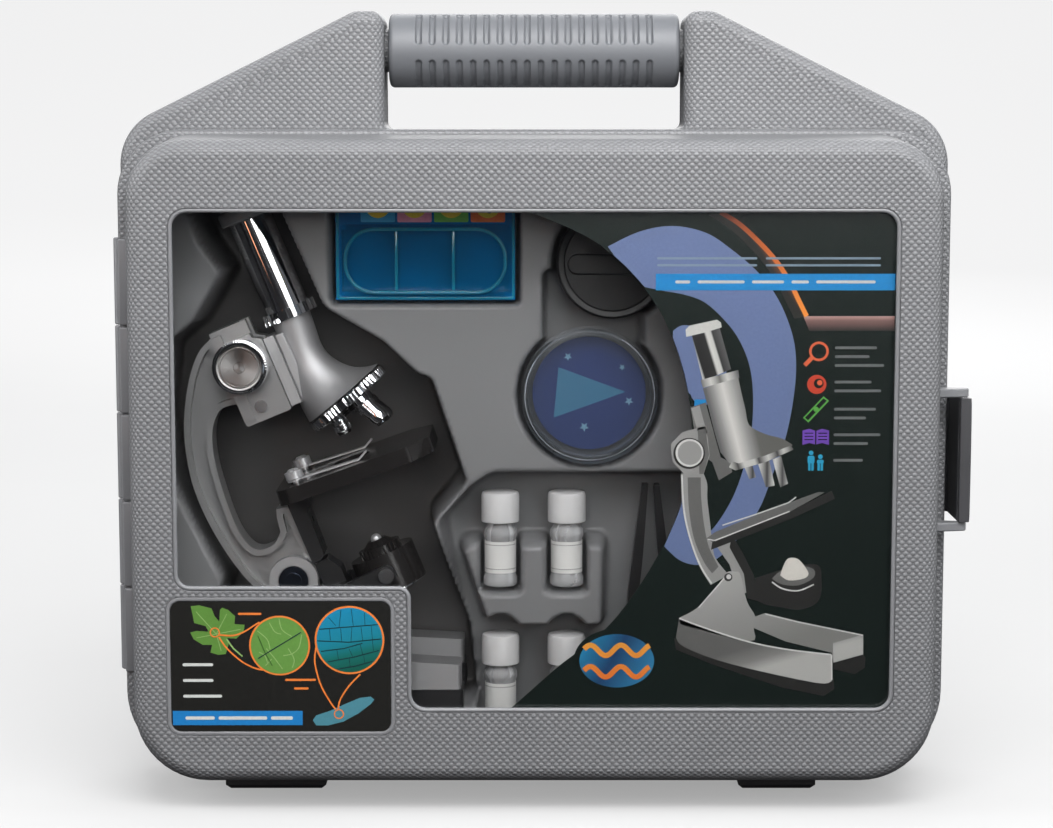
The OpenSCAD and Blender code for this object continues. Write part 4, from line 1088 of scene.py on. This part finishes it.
def printed_microscope():
    """The picture of the microscope, from its base up: each shape with its ink and layer."""
    grey = tone("ink_body", (60, 0), (140, 0), [(0, (0.3, 0.3, 0.29)), (1, (0.25, 0.25, 0.24))])
    neck = tone("ink_neck", (71, 171), (86, 175), [
        (0, (0.12, 0.12, 0.12)), (0.2, (0.3, 0.3, 0.29)), (0.45, (0.62, 0.61, 0.58)),
        (0.75, (0.3, 0.3, 0.29)), (1, (0.12, 0.12, 0.11))])
    barrel = tone("ink_barrel", (66, 189), (77.5, 192.6), [
        (0, (0.5, 0.5, 0.48)), (0.07, (0.01, 0.01, 0.01)), (0.46, (0.02, 0.02, 0.02)),
        (0.54, (0.6, 0.6, 0.57)), (0.68, (0.55, 0.55, 0.52)), (0.74, (0.03, 0.03, 0.03)),
        (1, (0.1, 0.1, 0.1))])
    pale = ink("print_pale", (0.56, 0.56, 0.53))
    dark = ink("ink_dark", (0.018, 0.018, 0.017))
    mid = ink("ink_mid", (0.13, 0.13, 0.125))
    collar = tone("ink_collar", (68, 178), (83, 182), [
        (0, (0.15, 0.15, 0.14)), (0.25, (0.6, 0.6, 0.57)), (0.5, (0.15, 0.15, 0.14)),
        (0.7, (0.6, 0.6, 0.57)), (1, (0.1, 0.1, 0.1))])
    light, shadow = (0.55, 0.55, 0.52), (0.04, 0.04, 0.04)
    ridges = tone("ink_serration", (80, 144), (105.5, 152), [
        (0, light), (0.12, shadow), (0.22, light), (0.38, light), (0.45, shadow), (0.6, light),
        (0.75, shadow), (0.85, light), (1, shadow)])
    lens = tone("ink_lens", (86, 142), (104, 142), [
        (0, (0.5, 0.5, 0.48)), (0.18, (0.03, 0.03, 0.03)), (0.32, (0.6, 0.6, 0.57)),
        (0.5, (0.04, 0.04, 0.04)), (0.68, (0.6, 0.6, 0.57)), (0.85, (0.05, 0.05, 0.05)),
        (1, (0.5, 0.5, 0.48))])
    top = tone("print_base", (60, 100), (75, 60), [
        (0, (0.42, 0.42, 0.4)), (0.5, (0.3, 0.3, 0.29)), (1, (0.2, 0.2, 0.19))])
    side = tone("ink_base_side", (90, 70), (93, 60), [
        (0, (0.12, 0.12, 0.115)), (0.6, (0.22, 0.22, 0.21)), (1, (0.42, 0.42, 0.4))])
    rim = ink("ink_rim", (0.62, 0.62, 0.6))
    shapes = [
        ([(57.6, 73.2), (62.4, 69), (81.6, 62.1), (115.9, 54.4), (123.4, 56.5), (123.8, 51.6),
          (119.4, 48.8), (102.2, 52.3), (73.4, 62.1), (58.3, 68.3)], dark, 2),
        ([(123.3, 62.8), (135.5, 66.3), (136.5, 64.9), (136.3, 60.7), (132.2, 57.9), (123.3, 60)], dark, 2),
        ([(90.9, 82.2), (95, 83.6), (108.7, 80.2), (135.4, 74.6), (135.5, 66.3), (123.3, 62.8), (122.5, 67),
          (103.3, 71.8), (90.3, 77.4)], top, 2),
        ([(123.3, 62.8), (135.5, 66.3), (135.4, 74.6), (123, 71)], side, 3),
        (curve([(59.6, 81.6), (67.7, 86.4), (76.5, 96.8), (79, 100.6), (82.4, 100.9), (84.6, 99.6),
                (87.4, 88.5), (90.9, 82.2), (90.3, 77.4), (88.3, 71.8), (60, 79)], 4), top, 3),
        (curve([(58.3, 73.2), (62.4, 69), (81.6, 62.1), (115.9, 54.4), (122.7, 55.1)], 4)
         + curve([(122.5, 66.3), (104, 68.6), (88.3, 71.8), (72, 77), (59.6, 81.6)], 4), side, 3),
        (band(curve([(59.6, 81.4), (72, 76.8), (88.3, 71.6), (104, 68.4), (122.3, 66.2)], 5), 0.6), rim, 4),
        (band([(122.5, 66), (122.7, 55.6)], 0.6), rim, 4),
        (band([(95, 83.2), (108.7, 79.8), (135.2, 74.3)], 0.5), rim, 4),
        (band(curve([(67.5, 85.8), (76.5, 96.4), (79.2, 100)], 5), 0.5), rim, 4),
        ([(87.4, 92), (90, 99.6), (85.2, 109.2), (81, 116.1), (74.3, 112), (80, 104), (84, 92)], grey, 2),
        ([(81, 116.1), (85.2, 109.2), (90, 99.6), (92.2, 88.5), (87.4, 89.9), (86, 100), (80, 111)], dark,
         3),
        (curve([(59.8, 141.5), (60.6, 128.5), (62, 120.2), (64.8, 110.6), (68.2, 102.3), (72.4, 95.4)], 4)
         + curve([(79.8, 99.6), (74.3, 106.5), (72.9, 113.4), (71.7, 123), (70.7, 131.2), (70.6, 137.4),
                  (68.9, 142)], 4), grey, 3),
        (curve([(62.6, 140), (63.2, 127.1), (65.4, 114.7), (69.5, 105.1), (73, 100.2)], 4)
         + curve([(75.6, 103), (71.6, 111), (69.4, 121), (68.2, 132), (68, 140)], 4), mid, 4),
        (band(curve([(60.2, 141), (61, 128.5), (62.4, 120.2), (65.2, 110.6), (68.7, 102.3), (72.8, 96)], 5),
              0.7), rim, 4),
        ([(74.2, 117.5), (95, 126.2), (116.1, 134), (118.6, 133.8), (104.6, 125.8), (85, 118.4),
          (72.9, 113.3), (70.4, 114.7)], mid, 5),
        ([(72.9, 113.3), (85, 118.4), (104.6, 125.8), (121.5, 134.5), (122.9, 131.2), (105.4, 123),
          (72.4, 110)], dark, 5),
        (band([(71, 114.4), (74, 113.9), (104.4, 126)], 0.5), rim, 6),
        (band([(77, 120.2), (92, 125.2), (104, 129.6), (107, 131.9)], 0.5), rim, 6),
        ([(63.6, 168.8), (69.7, 170.8), (76, 148.3), (80, 146.3), (80.8, 142.2), (75.4, 138.8),
          (72.6, 146.3), (68.8, 149), (65, 160)], mid, 3),
        ([(63.8, 168.4), (67.2, 169.6), (70.4, 158), (67, 157.4)], grey, 4),
        ([(60.3, 158.6), (70, 161.3), (71.5, 149), (68.9, 140.8), (61.8, 140.8), (56.4, 146.3),
          (55.6, 153.8)], grey, 4),
        ([(66.6, 159.4), (69.6, 160.2), (71.3, 149.4), (69, 141.4), (67.4, 141.4)], mid, 5),
        (circle(63.1, 149.9, 6.4, 40), dark, 5), (circle(63.3, 150.1, 5.7, 40), rim, 6),
              (circle(63.4, 150.1, 4.9, 40), grey, 7),
        (curve([(68.5, 176.5), (75, 178.8), (82.8, 181)], 3)
         + curve([(84.4, 174), (85.9, 168.1), (87.6, 161.5), (94.1, 157.9), (100.9, 156), (105.3, 153.4)], 4)
         + curve([(103.7, 151.4), (94.2, 148.4), (83.4, 145.2), (79.4, 146)], 4)
         + curve([(75.9, 150.4), (73.6, 158), (71, 168)], 4), neck, 4),
        ([(80.7, 146.6), (83.4, 145.8), (94.2, 149), (104.6, 153.2), (105.7, 151.5), (94.3, 146.3),
          (82.1, 142.9), (79.4, 144.2)], ridges, 5),
        ([(85.5, 144.9), (88.8, 145.6), (90.5, 140.1), (87.8, 139.2)], lens, 4),
        ([(91.3, 145.6), (95.9, 147), (98.2, 136.7), (94.6, 135.9)], lens, 4),
        ([(97.2, 147.4), (100.7, 148.8), (103.6, 137.4), (100.5, 135.9)], lens, 4),
        ([(63.7, 198.6), (75.1, 201.3), (79.9, 184.4), (68.5, 179.6)], barrel, 4),
        ([(67.6, 180), (82.8, 184.1), (83.3, 181), (68.5, 176.8)], collar, 5),
        ([(61.3, 200.6), (63, 202.2), (74, 204.6), (75.6, 203.4), (75.9, 201.5), (70, 199.6), (61.6, 197.6)],
         pale, 5),
        (curve([(90.7, 98.2), (98.9, 100.9), (108, 103.4), (116.5, 103.7), (117.9, 98), (117.7, 91),
                (115, 87), (108.6, 85), (101.8, 86), (92.2, 88.5), (90.7, 98.2)], 3)[:-1], dark, 2),
        (curve([(97.5, 98), (101.6, 101.6), (108.4, 103.4), (114.5, 102), (114.6, 98.4), (108.5, 95.2),
                (101.7, 95.6), (97.5, 98)], 3)[:-1],
         mid, 3),
        (band(curve([(97.6, 96.6), (102, 93.8), (108.5, 93), (114.8, 95.6)], 5), 0.6), rim, 4),
        (curve([(100.9, 99.4), (102.2, 103.4), (103.8, 106.2), (106.3, 106.7), (108.6, 105.8), (111, 103),
                (112.5, 100), (110.5, 98), (104.4, 97.3), (100.9, 99.4)], 4)[:-1],
         ink("ink_bulb", (0.62, 0.6, 0.55)), 4),
        (circle(79.6, 98.6, 1.7, 24), dark, 5), (circle(79.8, 98.8, 1, 20), rim, 6),
    ]
    for outline, material, layer in shapes:
        printed(outline, material, layer)


def icons():
    """Magnifier, beads, slide, open book and two figures, beside the list of bars."""
    red, green = ink("ink_red", (0.55, 0.05, 0.02)), ink("ink_green", (0.1, 0.38, 0.06))
    purple, cyan = ink("ink_purple", (0.16, 0.06, 0.42)), ink("ink_cyan", (0.02, 0.34, 0.55))
    coral = ink("ink_coral", (0.72, 0.13, 0.05))
    printed(circle(115.5, 191.7, 4, 32), coral, 2, (circle(115.5, 191.7, 3, 32),))
    printed(band([(112.6, 189), (109.8, 186)], 1.7), coral, 2)
    printed(circle(114.8, 178.2, 3.9, 32), red, 2)
    printed(circle(115.6, 178.6, 2, 24), CARD_INK, 3)
    printed(circle(116, 178.9, 1.1, 20), coral, 4)
    slide = [(109.4, 164.5), (111.6, 162.6), (119.9, 171.5), (117.6, 173.3)]
    printed(slide, green, 2, ([(110.2, 164.6), (111.5, 163.5), (119, 171.5), (117.6, 172.5)],))
    printed(circle(114.7, 168, 1.1, 20), green, 3)
    spine = 114.7
    for s in (-1, 1):
        printed([(spine + s * x, z) for x, z in ((0.25, 153.6), (2.6, 154.2), (5.4, 153.4), (5.4, 159.3),
                                                 (2.6, 160), (0.25, 159.2))], purple, 2)
        for z in (155.4, 156.7, 158):
            printed([(spine + s * x, z + up) for x, up in ((1, 0), (4.6, 0), (4.6, 0.4), (1, 0.4))],
                    CARD_INK, 3)
    for x, height in ((112.9, 8.2), (116.7, 6.6)):
        foot = 142.8
        printed(circle(x, foot + height - 0.9, 0.95, 20), cyan, 2)
        printed(fillet(box_corners(x - 1.4, foot + 3, x + 1.4, foot + height - 2.1, 0.5, 0.7), 3), cyan, 2)
        for s in (-1, 1):
            printed(fillet(box_corners(x + s * 0.65 - 0.5, foot, x + s * 0.65 + 0.5, foot + 3.1, 0.2, 0.1),
                           2), cyan, 2)


def emblem():
    """Plain oval badge with two waves."""
    def oval(a, b):
        return [(34 + a * math.cos(t), 63.6 + b * math.sin(t)) for t in turns(60)]
    sea = tone("ink_sea", (20, 72), (48, 56), [
        (0, (0.02, 0.24, 0.45)), (0.45, (0.01, 0.05, 0.14)), (1, (0.03, 0.22, 0.42))])
    orange = tone("ink_orange_wave", (30, 78), (30, 50), [(0, (0.8, 0.4, 0.05)), (1, (0.75, 0.12, 0.02))])
    printed(oval(17.6, 13.2), CARD_INK, 2)
    printed(oval(15.4, 11.2), sea, 3)
    for name, outline in (("emblem", oval(17.8, 13.4)), ("knob", circle(63.1, 149.9, 6.8, 48))):
        plate(f"card_tab_{name}", outline, CARD_Y + 0.02, CARD_Y + 0.38, "lid", CARD_INK)
    for z in (68, 59):
        wave = [(x, z + 2.2 * math.sin((x - 20) * 0.5)) for x in np.linspace(20.5, 47.5, 40)]
        printed(band(wave, 2.2), orange, 4)


LABEL_Y = FRONT_Y + 0.2
LEAF = ink("ink_leaf", (0.085, 0.2, 0.035))
LEAF_DARK = ink("ink_leaf_dark", (0.03, 0.09, 0.015))
VEIN = ink("ink_vein", (0.22, 0.36, 0.12))
CELLS = ink("ink_cells", (0.1, 0.23, 0.045))
WING = ink("ink_wing", (0.055, 0.19, 0.24))
WING_DARK = ink("ink_wing_dark", (0.002, 0.02, 0.025))


def label_art():
    """A lobed leaf and an insect wing, each with a magnified view joined to it by thin lines."""
    def on_label(outline, material, layer=0, holes=()):
        return printed(outline, material, layer, holes, LABEL_Y)

    def stroke(points, width, material, layer):
        on_label(band(points, width), material, layer)

    on_label([(-140.7, 87.3), (-137.2, 87.6), (-132.2, 86.3), (-131, 83.1), (-129.1, 80.8), (-128.8, 85.7),
              (-127.9, 86.6), (-125.4, 85.7), (-122.6, 83.1), (-122.9, 79.8), (-118.8, 79.5),
              (-119.1, 76.6), (-122.3, 73.7), (-126, 74), (-125.4, 71.5), (-126.6, 67.3), (-129.7, 66.9),
              (-132.9, 67.9), (-132.2, 71.1), (-136, 71.1), (-139.7, 73.4), (-141.1, 76.3), (-138.5, 76.9),
              (-133.5, 76.6), (-134.7, 78.9), (-139.4, 80.2)], LEAF)
    for tip in ((-138.6, 85), (-126, 84), (-120.4, 77.6), (-138.5, 74), (-128.5, 68.6)):
        stroke([(-130.4, 75.6), tip], 0.3, VEIN, 1)
    stroke([(-126.3, 73.6), (-123.5, 69.6), (-119.8, 66.3)], 0.6, VEIN, 1)

    x, z = -104.5, 70.8
    on_label(circle(x, z, 12.5, 60), ORANGE, 0)
    on_label(circle(x, z, 11.8, 60), CELLS, 1)
    for line in ([(-95.4, 75.4), (-96.6, 70), (-99.4, 67.4), (-103, 66.6)], [(-110.4, 62.4), (-107.8, 65.2)],
                 [(-110, 69.6), (-107, 66), (-103.4, 61)], [(-113.6, 77), (-109.6, 73.4), (-108.4, 69.2)],
                 [(-104.6, 82), (-103.4, 77.4), (-99.4, 74.6)],
                 [(-108.6, 80.4), (-106.4, 76.6), (-103.8, 75.6)],
                 [(-101, 69.6), (-98.6, 65), (-99.4, 61.6)], [(-113, 68), (-110.6, 66.6), (-109.4, 63)]):
        stroke(curve(line, 4), 0.35, VEIN, 2)
    stroke([(-113.4, 65.4), (-95.6, 76.4)], 0.45, WING_DARK, 3)
    stroke([(-113.4, 75), (-110.6, 68), (-107.6, 62.4)], 0.4, LEAF_DARK, 3)

    x, z = -75.8, 73.1
    on_label(circle(x, z, 14.3, 60), ORANGE, 0)
    on_label(circle(x, z, 13.5, 60), tone("ink_teal", (-79, 86), (-73, 60), [
        (0, (0.006, 0.19, 0.34)), (0.5, (0.005, 0.17, 0.24)), (0.72, (0.003, 0.11, 0.1)),
        (1, (0.003, 0.07, 0.045))]), 1)
    for line in ([(-88.2, 77.6), (-64, 79.6)], [(-89, 72.8), (-76, 72.2), (-62.8, 73.6)],
                 [(-87.6, 68.4), (-78, 69.6), (-70.5, 71.8)], [(-84.8, 64), (-74, 66), (-63.6, 68.8)],
                 [(-81, 60.9), (-73.6, 62.2), (-66.4, 64.2)]):
        stroke(line, 0.42, WING_DARK, 2)
    for line in ([(-84.4, 82.6), (-81.4, 79.2)], [(-79.2, 85.8), (-80, 78.6)], [(-75, 86.2), (-74.2, 79)],
                 [(-69.6, 84.6), (-69.4, 79.2)], [(-84, 77.8), (-83.6, 73)], [(-79.4, 78), (-79, 72.6)],
                 [(-74.8, 78.4), (-75.2, 72.4)], [(-71, 78.6), (-70.4, 72.8)], [(-66.8, 79), (-66.4, 73.2)],
                 [(-76, 69.4), (-74.6, 66.2)], [(-71.4, 71.2), (-70.4, 67)], [(-81, 69), (-80.4, 65)],
                 [(-76, 65.4), (-75.6, 62)], [(-70, 66.6), (-69.6, 63.4)], [(-66.4, 73), (-66, 68.6)]):
        stroke(line, 0.22, WING_DARK, 2)

    for line in ([(-129.3, 75.3), (-123.6, 75), (-119, 76.6), (-114.6, 79.4), (-112.6, 80.6)],
                 [(-129.4, 74.4), (-126, 69.5), (-120.4, 64.4), (-115.4, 61.6), (-111.4, 60.6)],
                 [(-89.6, 70), (-90.1, 63.7), (-87.9, 54.7), (-84.2, 47.6), (-81.7, 44)],
                 [(-71.5, 58.8), (-76.1, 54), (-79.8, 48.2), (-80.7, 44.1)]):
        stroke(curve(line, 5), 0.65, ORANGE, 3)
    on_label(circle(-131, 76.3, 2.1, 28), ORANGE, 3, (circle(-131, 76.3, 1.6, 28),))
    on_label([(-91.2, 39.5), (-89.8, 41.5), (-84.2, 43.4), (-77.9, 46.3), (-71.7, 48.9), (-67.3, 49.4),
              (-65.8, 48.2), (-67.3, 46.3), (-72.3, 42.4), (-78.6, 38.9), (-84.8, 37.3), (-89.8, 37.3)],
             WING, 1)
    on_label(circle(-80.4, 42.1, 2.1, 28), ORANGE, 3, (circle(-80.4, 42.1, 1.6, 28),))
    on_label([(-148.8, 37.4), (-95.4, 37.4), (-95.4, 43.4), (-148.8, 43.4)], BAR_BLUE, 0)
    for x0, width in ((-143.6, 12), (-130, 20), (-108.4, 9)):
        on_label(bar(x0, 39.7, width, 1.4, 0.5), PALE, 1)
    for z0, width in ((62.2, 12.5), (55.6, 12.5), (49, 16)):
        on_label(bar(-144.4, z0, width, 1.2, 0.5), PALE, 1)
    for x0, z0, width in ((-121.4, 83.6, 9.6), (-102.4, 56, 12.6), (-98.8, 52.4, 6)):
        on_label(bar(x0, z0, width, 0.9, 0.4), ORANGE, 1)


# ---------- Microscope ----------

def in_scope(x, z, turn=0.0, y=0.0):
    return SCOPE @ Matrix.Translation((x, y, z)) @ Matrix.Rotation(math.radians(turn), 4, "Y")


OPTICAL_X = 42
TURRET = in_scope(49.7, 64.8, -18)
# Middle in X and Z, radius and lean in degrees of each section, from the top down
HEAD_SECTIONS = [(41.8, 103.1, 8.4, 0), (41.4, 95, 8.2, 0), (40.8, 87, 8.4, 4), (41.1, 81, 9.4, 8),
                 (42.4, 75.3, 11.3, 11), (44.3, 70.3, 13.8, 14), (47.2, 66.8, 16.6, 16),
                 (49.7, 64.9, 19, 18)]


def head():
    """Cast head that flares like a bell from the tube down to the turret."""
    rings = []
    for x, z, r, lean in curve(HEAD_SECTIONS, 8):
        m = Matrix.Translation((x, 0, z)) @ Matrix.Rotation(-math.radians(lean), 4, "Y")
        rings.append([tuple(m @ Vector((r * math.cos(u), r * math.sin(u), 0)))
                      for u in turns(80)])
    obj = make("head_bell", *loft_data(rings), SCOPE, "head", SILVER, 40, ("head",))
    bore = [[(OPTICAL_X + 5 * math.cos(u), 5 * math.sin(u), z) for u in turns(48)]
            for z in (50, 110)]
    cut(obj, shape_mesh(*loft_data(bore), matrix=SCOPE))
    box = [(x, y, z) for z in (68.6, 112) for x, y in ((13, -12), (33, -12), (33, 12), (13, 12))]
    cut(obj, shape_mesh(*loft_data([box[:4], box[4:]]), matrix=SCOPE))
    soften(obj, 0.5, 3, 50)
    saddle = plate("head_saddle", [(33, 70), (38, 70), (37, 99), (33, 99)], -8, 8, "head", SILVER,
                   matrix=SCOPE)
    soften(saddle, 0.8, 3, 40)


def tube():
    low = 107.7
    top = low + 40.5
    r = 9.3
    place = in_scope(OPTICAL_X, 0)
    lathe("tube_barrel", [(r - 0.8, low), (r, low), (r, top - 0.4), (r - 0.3, top), (r - 0.8, top),
                          (r - 0.8, low)],
          place, "head", CHROME, 128, 30, ("body_tube",))
    flange = [(6.6, top - 21.8), (r - 0.9, top - 21.8), (r - 0.9, top + 0.15), (r + 2.4, top + 0.15),
              (r + 3, top + 0.7), (r + 3.05, top + 4.6), (r + 2.5, top + 5.7), (r + 1.8, top + 6),
              (r + 1.4, top + 6.4), (r + 1.35, top + 8.3), (r + 0.7, top + 9), (8.4, top + 9),
              (5.1, top + 4.6), (5.1, top + 3), (6.6, top + 3), (6.6, top - 21.8)]
    lathe("eyepiece_body", flange, place, "eyepiece", SMOKE, 128, 30, ("eyepiece",))


def ridged_rings(rows, groove):
    """Rings of (radius, height, share), each cut into by its share of the groove's depth at an angle."""
    return [[((r - groove(a) * share) * math.cos(a), (r - groove(a) * share) * math.sin(a), h)
             for a in turns(720)] for r, h, share in rows]


def grouped_groove(a, depth=0.75, filled=0.72, groups=12, ridges=4):
    """Depth below a grip ring whose ridges come in groups."""
    step = math.tau / groups
    place = (a % step) / step
    if place > filled:
        return 0
    ridge = place / filled * ridges % 1
    return depth * (1 - abs(2 * ridge - 1)) ** 0.7


def turret():
    rings = ridged_rings([(12, -7.5, 0), (17.2, -5.1, 0), (19.2, -4.95, 0.6), (19.8, -4.4, 1),
                          (19.8, -1.1, 1), (19.3, -0.6, 0.6), (18, -0.5, 0)], grouped_groove)
    make("turret_disc", *loft_data(rings), TURRET, "turret", CHROME, 30, ("turret",))


# Name, turn round the turret in degrees, length and radius
OBJECTIVES = [("objective_short", 0, 9, 4.2), ("objective_medium", 120, 15, 4.4),
              ("objective_long", 240, 16.5, 4.0)]


def objectives():
    off_axis, lean = 8.1, math.radians(18)
    for name, turn, long, r in OBJECTIVES:
        place = (TURRET @ Matrix.Rotation(math.radians(turn), 4, "Z")
                 @ Matrix.Translation((-off_axis, 0, -5)) @ Matrix.Rotation(lean, 4, "Y"))
        n = r - 0.5
        profile = [(1.4, -0.4), (3.3, -0.4), (3.3, -4.4), (r - 0.2, -4.4), (r, -4.7), (r, -5.3),
                   (r - 0.25, -5.5), (r, -5.7), (r, -6.2), (r - 0.25, -6.4), (r, -6.6), (r, -6.9),
                   (n, -7.1)]
        if long > 12:
            profile += [(n, -long + 5), (n - 0.2, -long + 4.8), (n - 0.2, -long + 4.4), (n, -long + 4.2)]
        profile += [(n, -long + 1.7), (r - 1.3, -long + 0.1), (r - 1.5, -long), (1.4, -long), (1.4, -0.4)]
        lathe(name + "_barrel", profile, place, "turret", CHROME, 96, 30, (name,))


KNOB_AT = middle("pinion_shaft") * MM
KNOB_FACE = brushed_disc("knob_face", (0.48, 0.47, 0.46), KNOB_AT, 0.3)


def knobs():
    """Focus knobs: straight knurl on the rim and a turned, slightly hollow face."""
    r, knurl_depth, knurls = 11.6, 0.4, 60
    for name, side in (("focus_knob_near", -1), ("focus_knob_far", 1)):
        place = in_scope(16.5, 93) @ Matrix.Rotation(-side * math.pi / 2, 4, "X")
        rings = ridged_rings(
            [(r - 1, 15.5, 0), (r - 0.1, 15.6, 0.4), (r, 16.1, 1), (r, 22.9, 1), (r - 0.2, 23.4, 0.4),
             (r - 1, 23.7, 0), (r - 1.2, 25.4, 0), (r - 1.6, 25.9, 0), (r - 2, 25.9, 0)],
            lambda a: knurl_depth * (0.5 + 0.5 * math.cos(a * knurls)))
        make(name + "_rim", *loft_data(rings, True, False), place, "focus_drive", CHROME, 30, (name,))
        lathe(name + "_face", [(r - 2, 25.9), (r - 2.2, 25.4), (r - 2.9, 25.2), (r - 3.1, 25.5),
                               (r - 3.6, 25.5), (r - 3.8, 25.1), (2.4, 24.9), (2.2, 24.6), (0, 24.6)],
              place, "focus_drive", KNOB_FACE, 128, 30)


latch()
dish()
cup()
vials()
hatchery()
card_art()
label_art()
head()
tube()
turret()
objectives()
knobs()


# ---------- Camera, light and floor ----------

def sky(world):
    """Soft light from above, fading to near black below the horizon."""
    world.use_nodes = True
    nodes, links = world.node_tree.nodes, world.node_tree.links
    coords = nodes.new("ShaderNodeTexCoord")
    split = nodes.new("ShaderNodeSeparateXYZ")
    ramp = nodes.new("ShaderNodeValToRGB")
    lift = nodes.new("ShaderNodeMath")
    lift.operation = "MULTIPLY_ADD"
    lift.inputs[1].default_value = 0.5
    lift.inputs[2].default_value = 0.5
    links.new(coords.outputs["Generated"], split.inputs[0])
    links.new(split.outputs[2], lift.inputs[0])
    links.new(lift.outputs[0], ramp.inputs["Fac"])
    stops = ramp.color_ramp.elements
    stops[0].position, stops[0].color = 0.46, (0.02, 0.02, 0.022, 1)
    stops[1].position, stops[1].color = 0.85, (0.5, 0.505, 0.52, 1)
    stops.new(0.58).color = (0.13, 0.13, 0.135, 1)
    links.new(ramp.outputs["Color"], nodes["Background"].inputs["Color"])
    nodes["Background"].inputs["Strength"].default_value = 1.0


LENS_LENGTH = 84.7
CAMERA_AT = ((CASE_X - 3.2) * MM, -1.0422, 0.289)
CAMERA_TILT = math.radians(83)
# In metres: half width, front end, start of the cove, its radius, and the top of the wall
FLOOR_HALF, FLOOR_FRONT, COVE_START, COVE_R, WALL_TOP = 12, -14, 1.6, 1.5, 5
# Name, place, size, power, target and colour of each soft light, in metres and watts
SOFTBOXES = [
    ("top", (0.1, -0.5, 0.78), (0.7, 0.35), 8, (0, 0, 0.2)),
    ("key", (0.15, -1.4, 1.15), (1.1, 0.7), 11, (0, 0, 0.18)),
    ("fill", (0.1, -1.6, 0.52), (1.0, 0.35), 4.2, (0, 0, 0.22)),
    ("left", (-0.9, -0.1, 0.5), (0.25, 0.9), 5, (-0.15, 0, 0.18)),
    ("right", (0.9, -0.1, 0.5), (0.25, 0.9), 4, (0.15, 0, 0.18)),
    ("strip", (0.66, -1.2, 0.5), (0.3, 0.8), 2.4, (-0.1, 0, 0.2)),
    ("warm_strip", (-0.6, -1.25, 0.3), (0.07, 0.6), 0.35, (-0.1, 0, 0.2), (1, 0.42, 0.22)),
    ("soft_left", (-0.95, -1.25, 0.6), (0.45, 0.7), 2.5, (-0.1, 0, 0.2)),
    ("back", (0, 0.9, 1.0), (1.2, 0.4), 6, (0, 0, 0.3)),
    ("rear_fill", (0.3, 1.9, 0.8), (1.2, 0.7), 9, (0, 0, 0.16)),
]


def studio():
    scene = bpy.context.scene
    scene.view_settings.view_transform = "Standard"
    scene.world = bpy.data.worlds.new("studio")
    sky(scene.world)

    camera = bpy.data.objects.new("camera", bpy.data.cameras.new("camera"))
    scene.collection.objects.link(camera)
    camera.data.sensor_width = 36
    camera.data.lens = LENS_LENGTH
    camera.data.clip_end = 50
    camera.location = CAMERA_AT
    camera.rotation_euler = (CAMERA_TILT, 0, 0)
    scene.camera = camera

    def softbox(name, place, size, power, target=(0, 0, 0.16), colour=(1, 1, 1)):
        light = bpy.data.objects.new(name, bpy.data.lights.new(name, "AREA"))
        scene.collection.objects.link(light)
        light.data.shape = "RECTANGLE"
        light.data.size, light.data.size_y = size
        light.data.energy = power
        light.data.color = colour
        light.location = place
        aim = Vector(target) - Vector(place)
        light.rotation_euler = aim.to_track_quat("-Z", "Y").to_euler()

    for light in SOFTBOXES:
        softbox(*light)

    g = Graph("backdrop")
    pale = g.ramp(g.noise(3.0, 2.0), [(0.3, (0.3, 0.3, 0.3)), (0.7, (0.31, 0.31, 0.31))])
    _, depth, _ = g.split(g.coords.outputs["Object"])
    near_glow, glow_per_metre, most_glow = 0.345, 0.19, 0.735
    glow = g.math("MULTIPLY_ADD", g.math("ABSOLUTE", depth), glow_per_metre, near_glow)
    glow = g.math("MINIMUM", glow, most_glow)
    g.set(Base_Color=pale, Roughness=0.9, Emission_Color=(1.0, 1.0, 1.0), Emission_Strength=glow)
    g.set(Specular_IOR_Level=0.0)
    rows = [(FLOOR_FRONT, 0), (COVE_START, 0), *arc(COVE_START, COVE_R, COVE_R, -82.5, 0, 11),
            (COVE_START + COVE_R, WALL_TOP)]
    mesh = bpy.data.meshes.new("backdrop")
    verts = [(s * FLOOR_HALF, y, z) for y, z in rows for s in (-1, 1)]
    faces = [(2 * i, 2 * i + 1, 2 * i + 3, 2 * i + 2) for i in range(len(rows) - 1)]
    mesh.from_pydata(verts, [], faces)
    mesh.shade_smooth()
    mesh.materials.append(g.material)
    floor = bpy.data.objects.new("backdrop", mesh)
    scene.collection.objects.link(floor)
    floor.visible_diffuse = False
    floor.visible_glossy = False


studio()
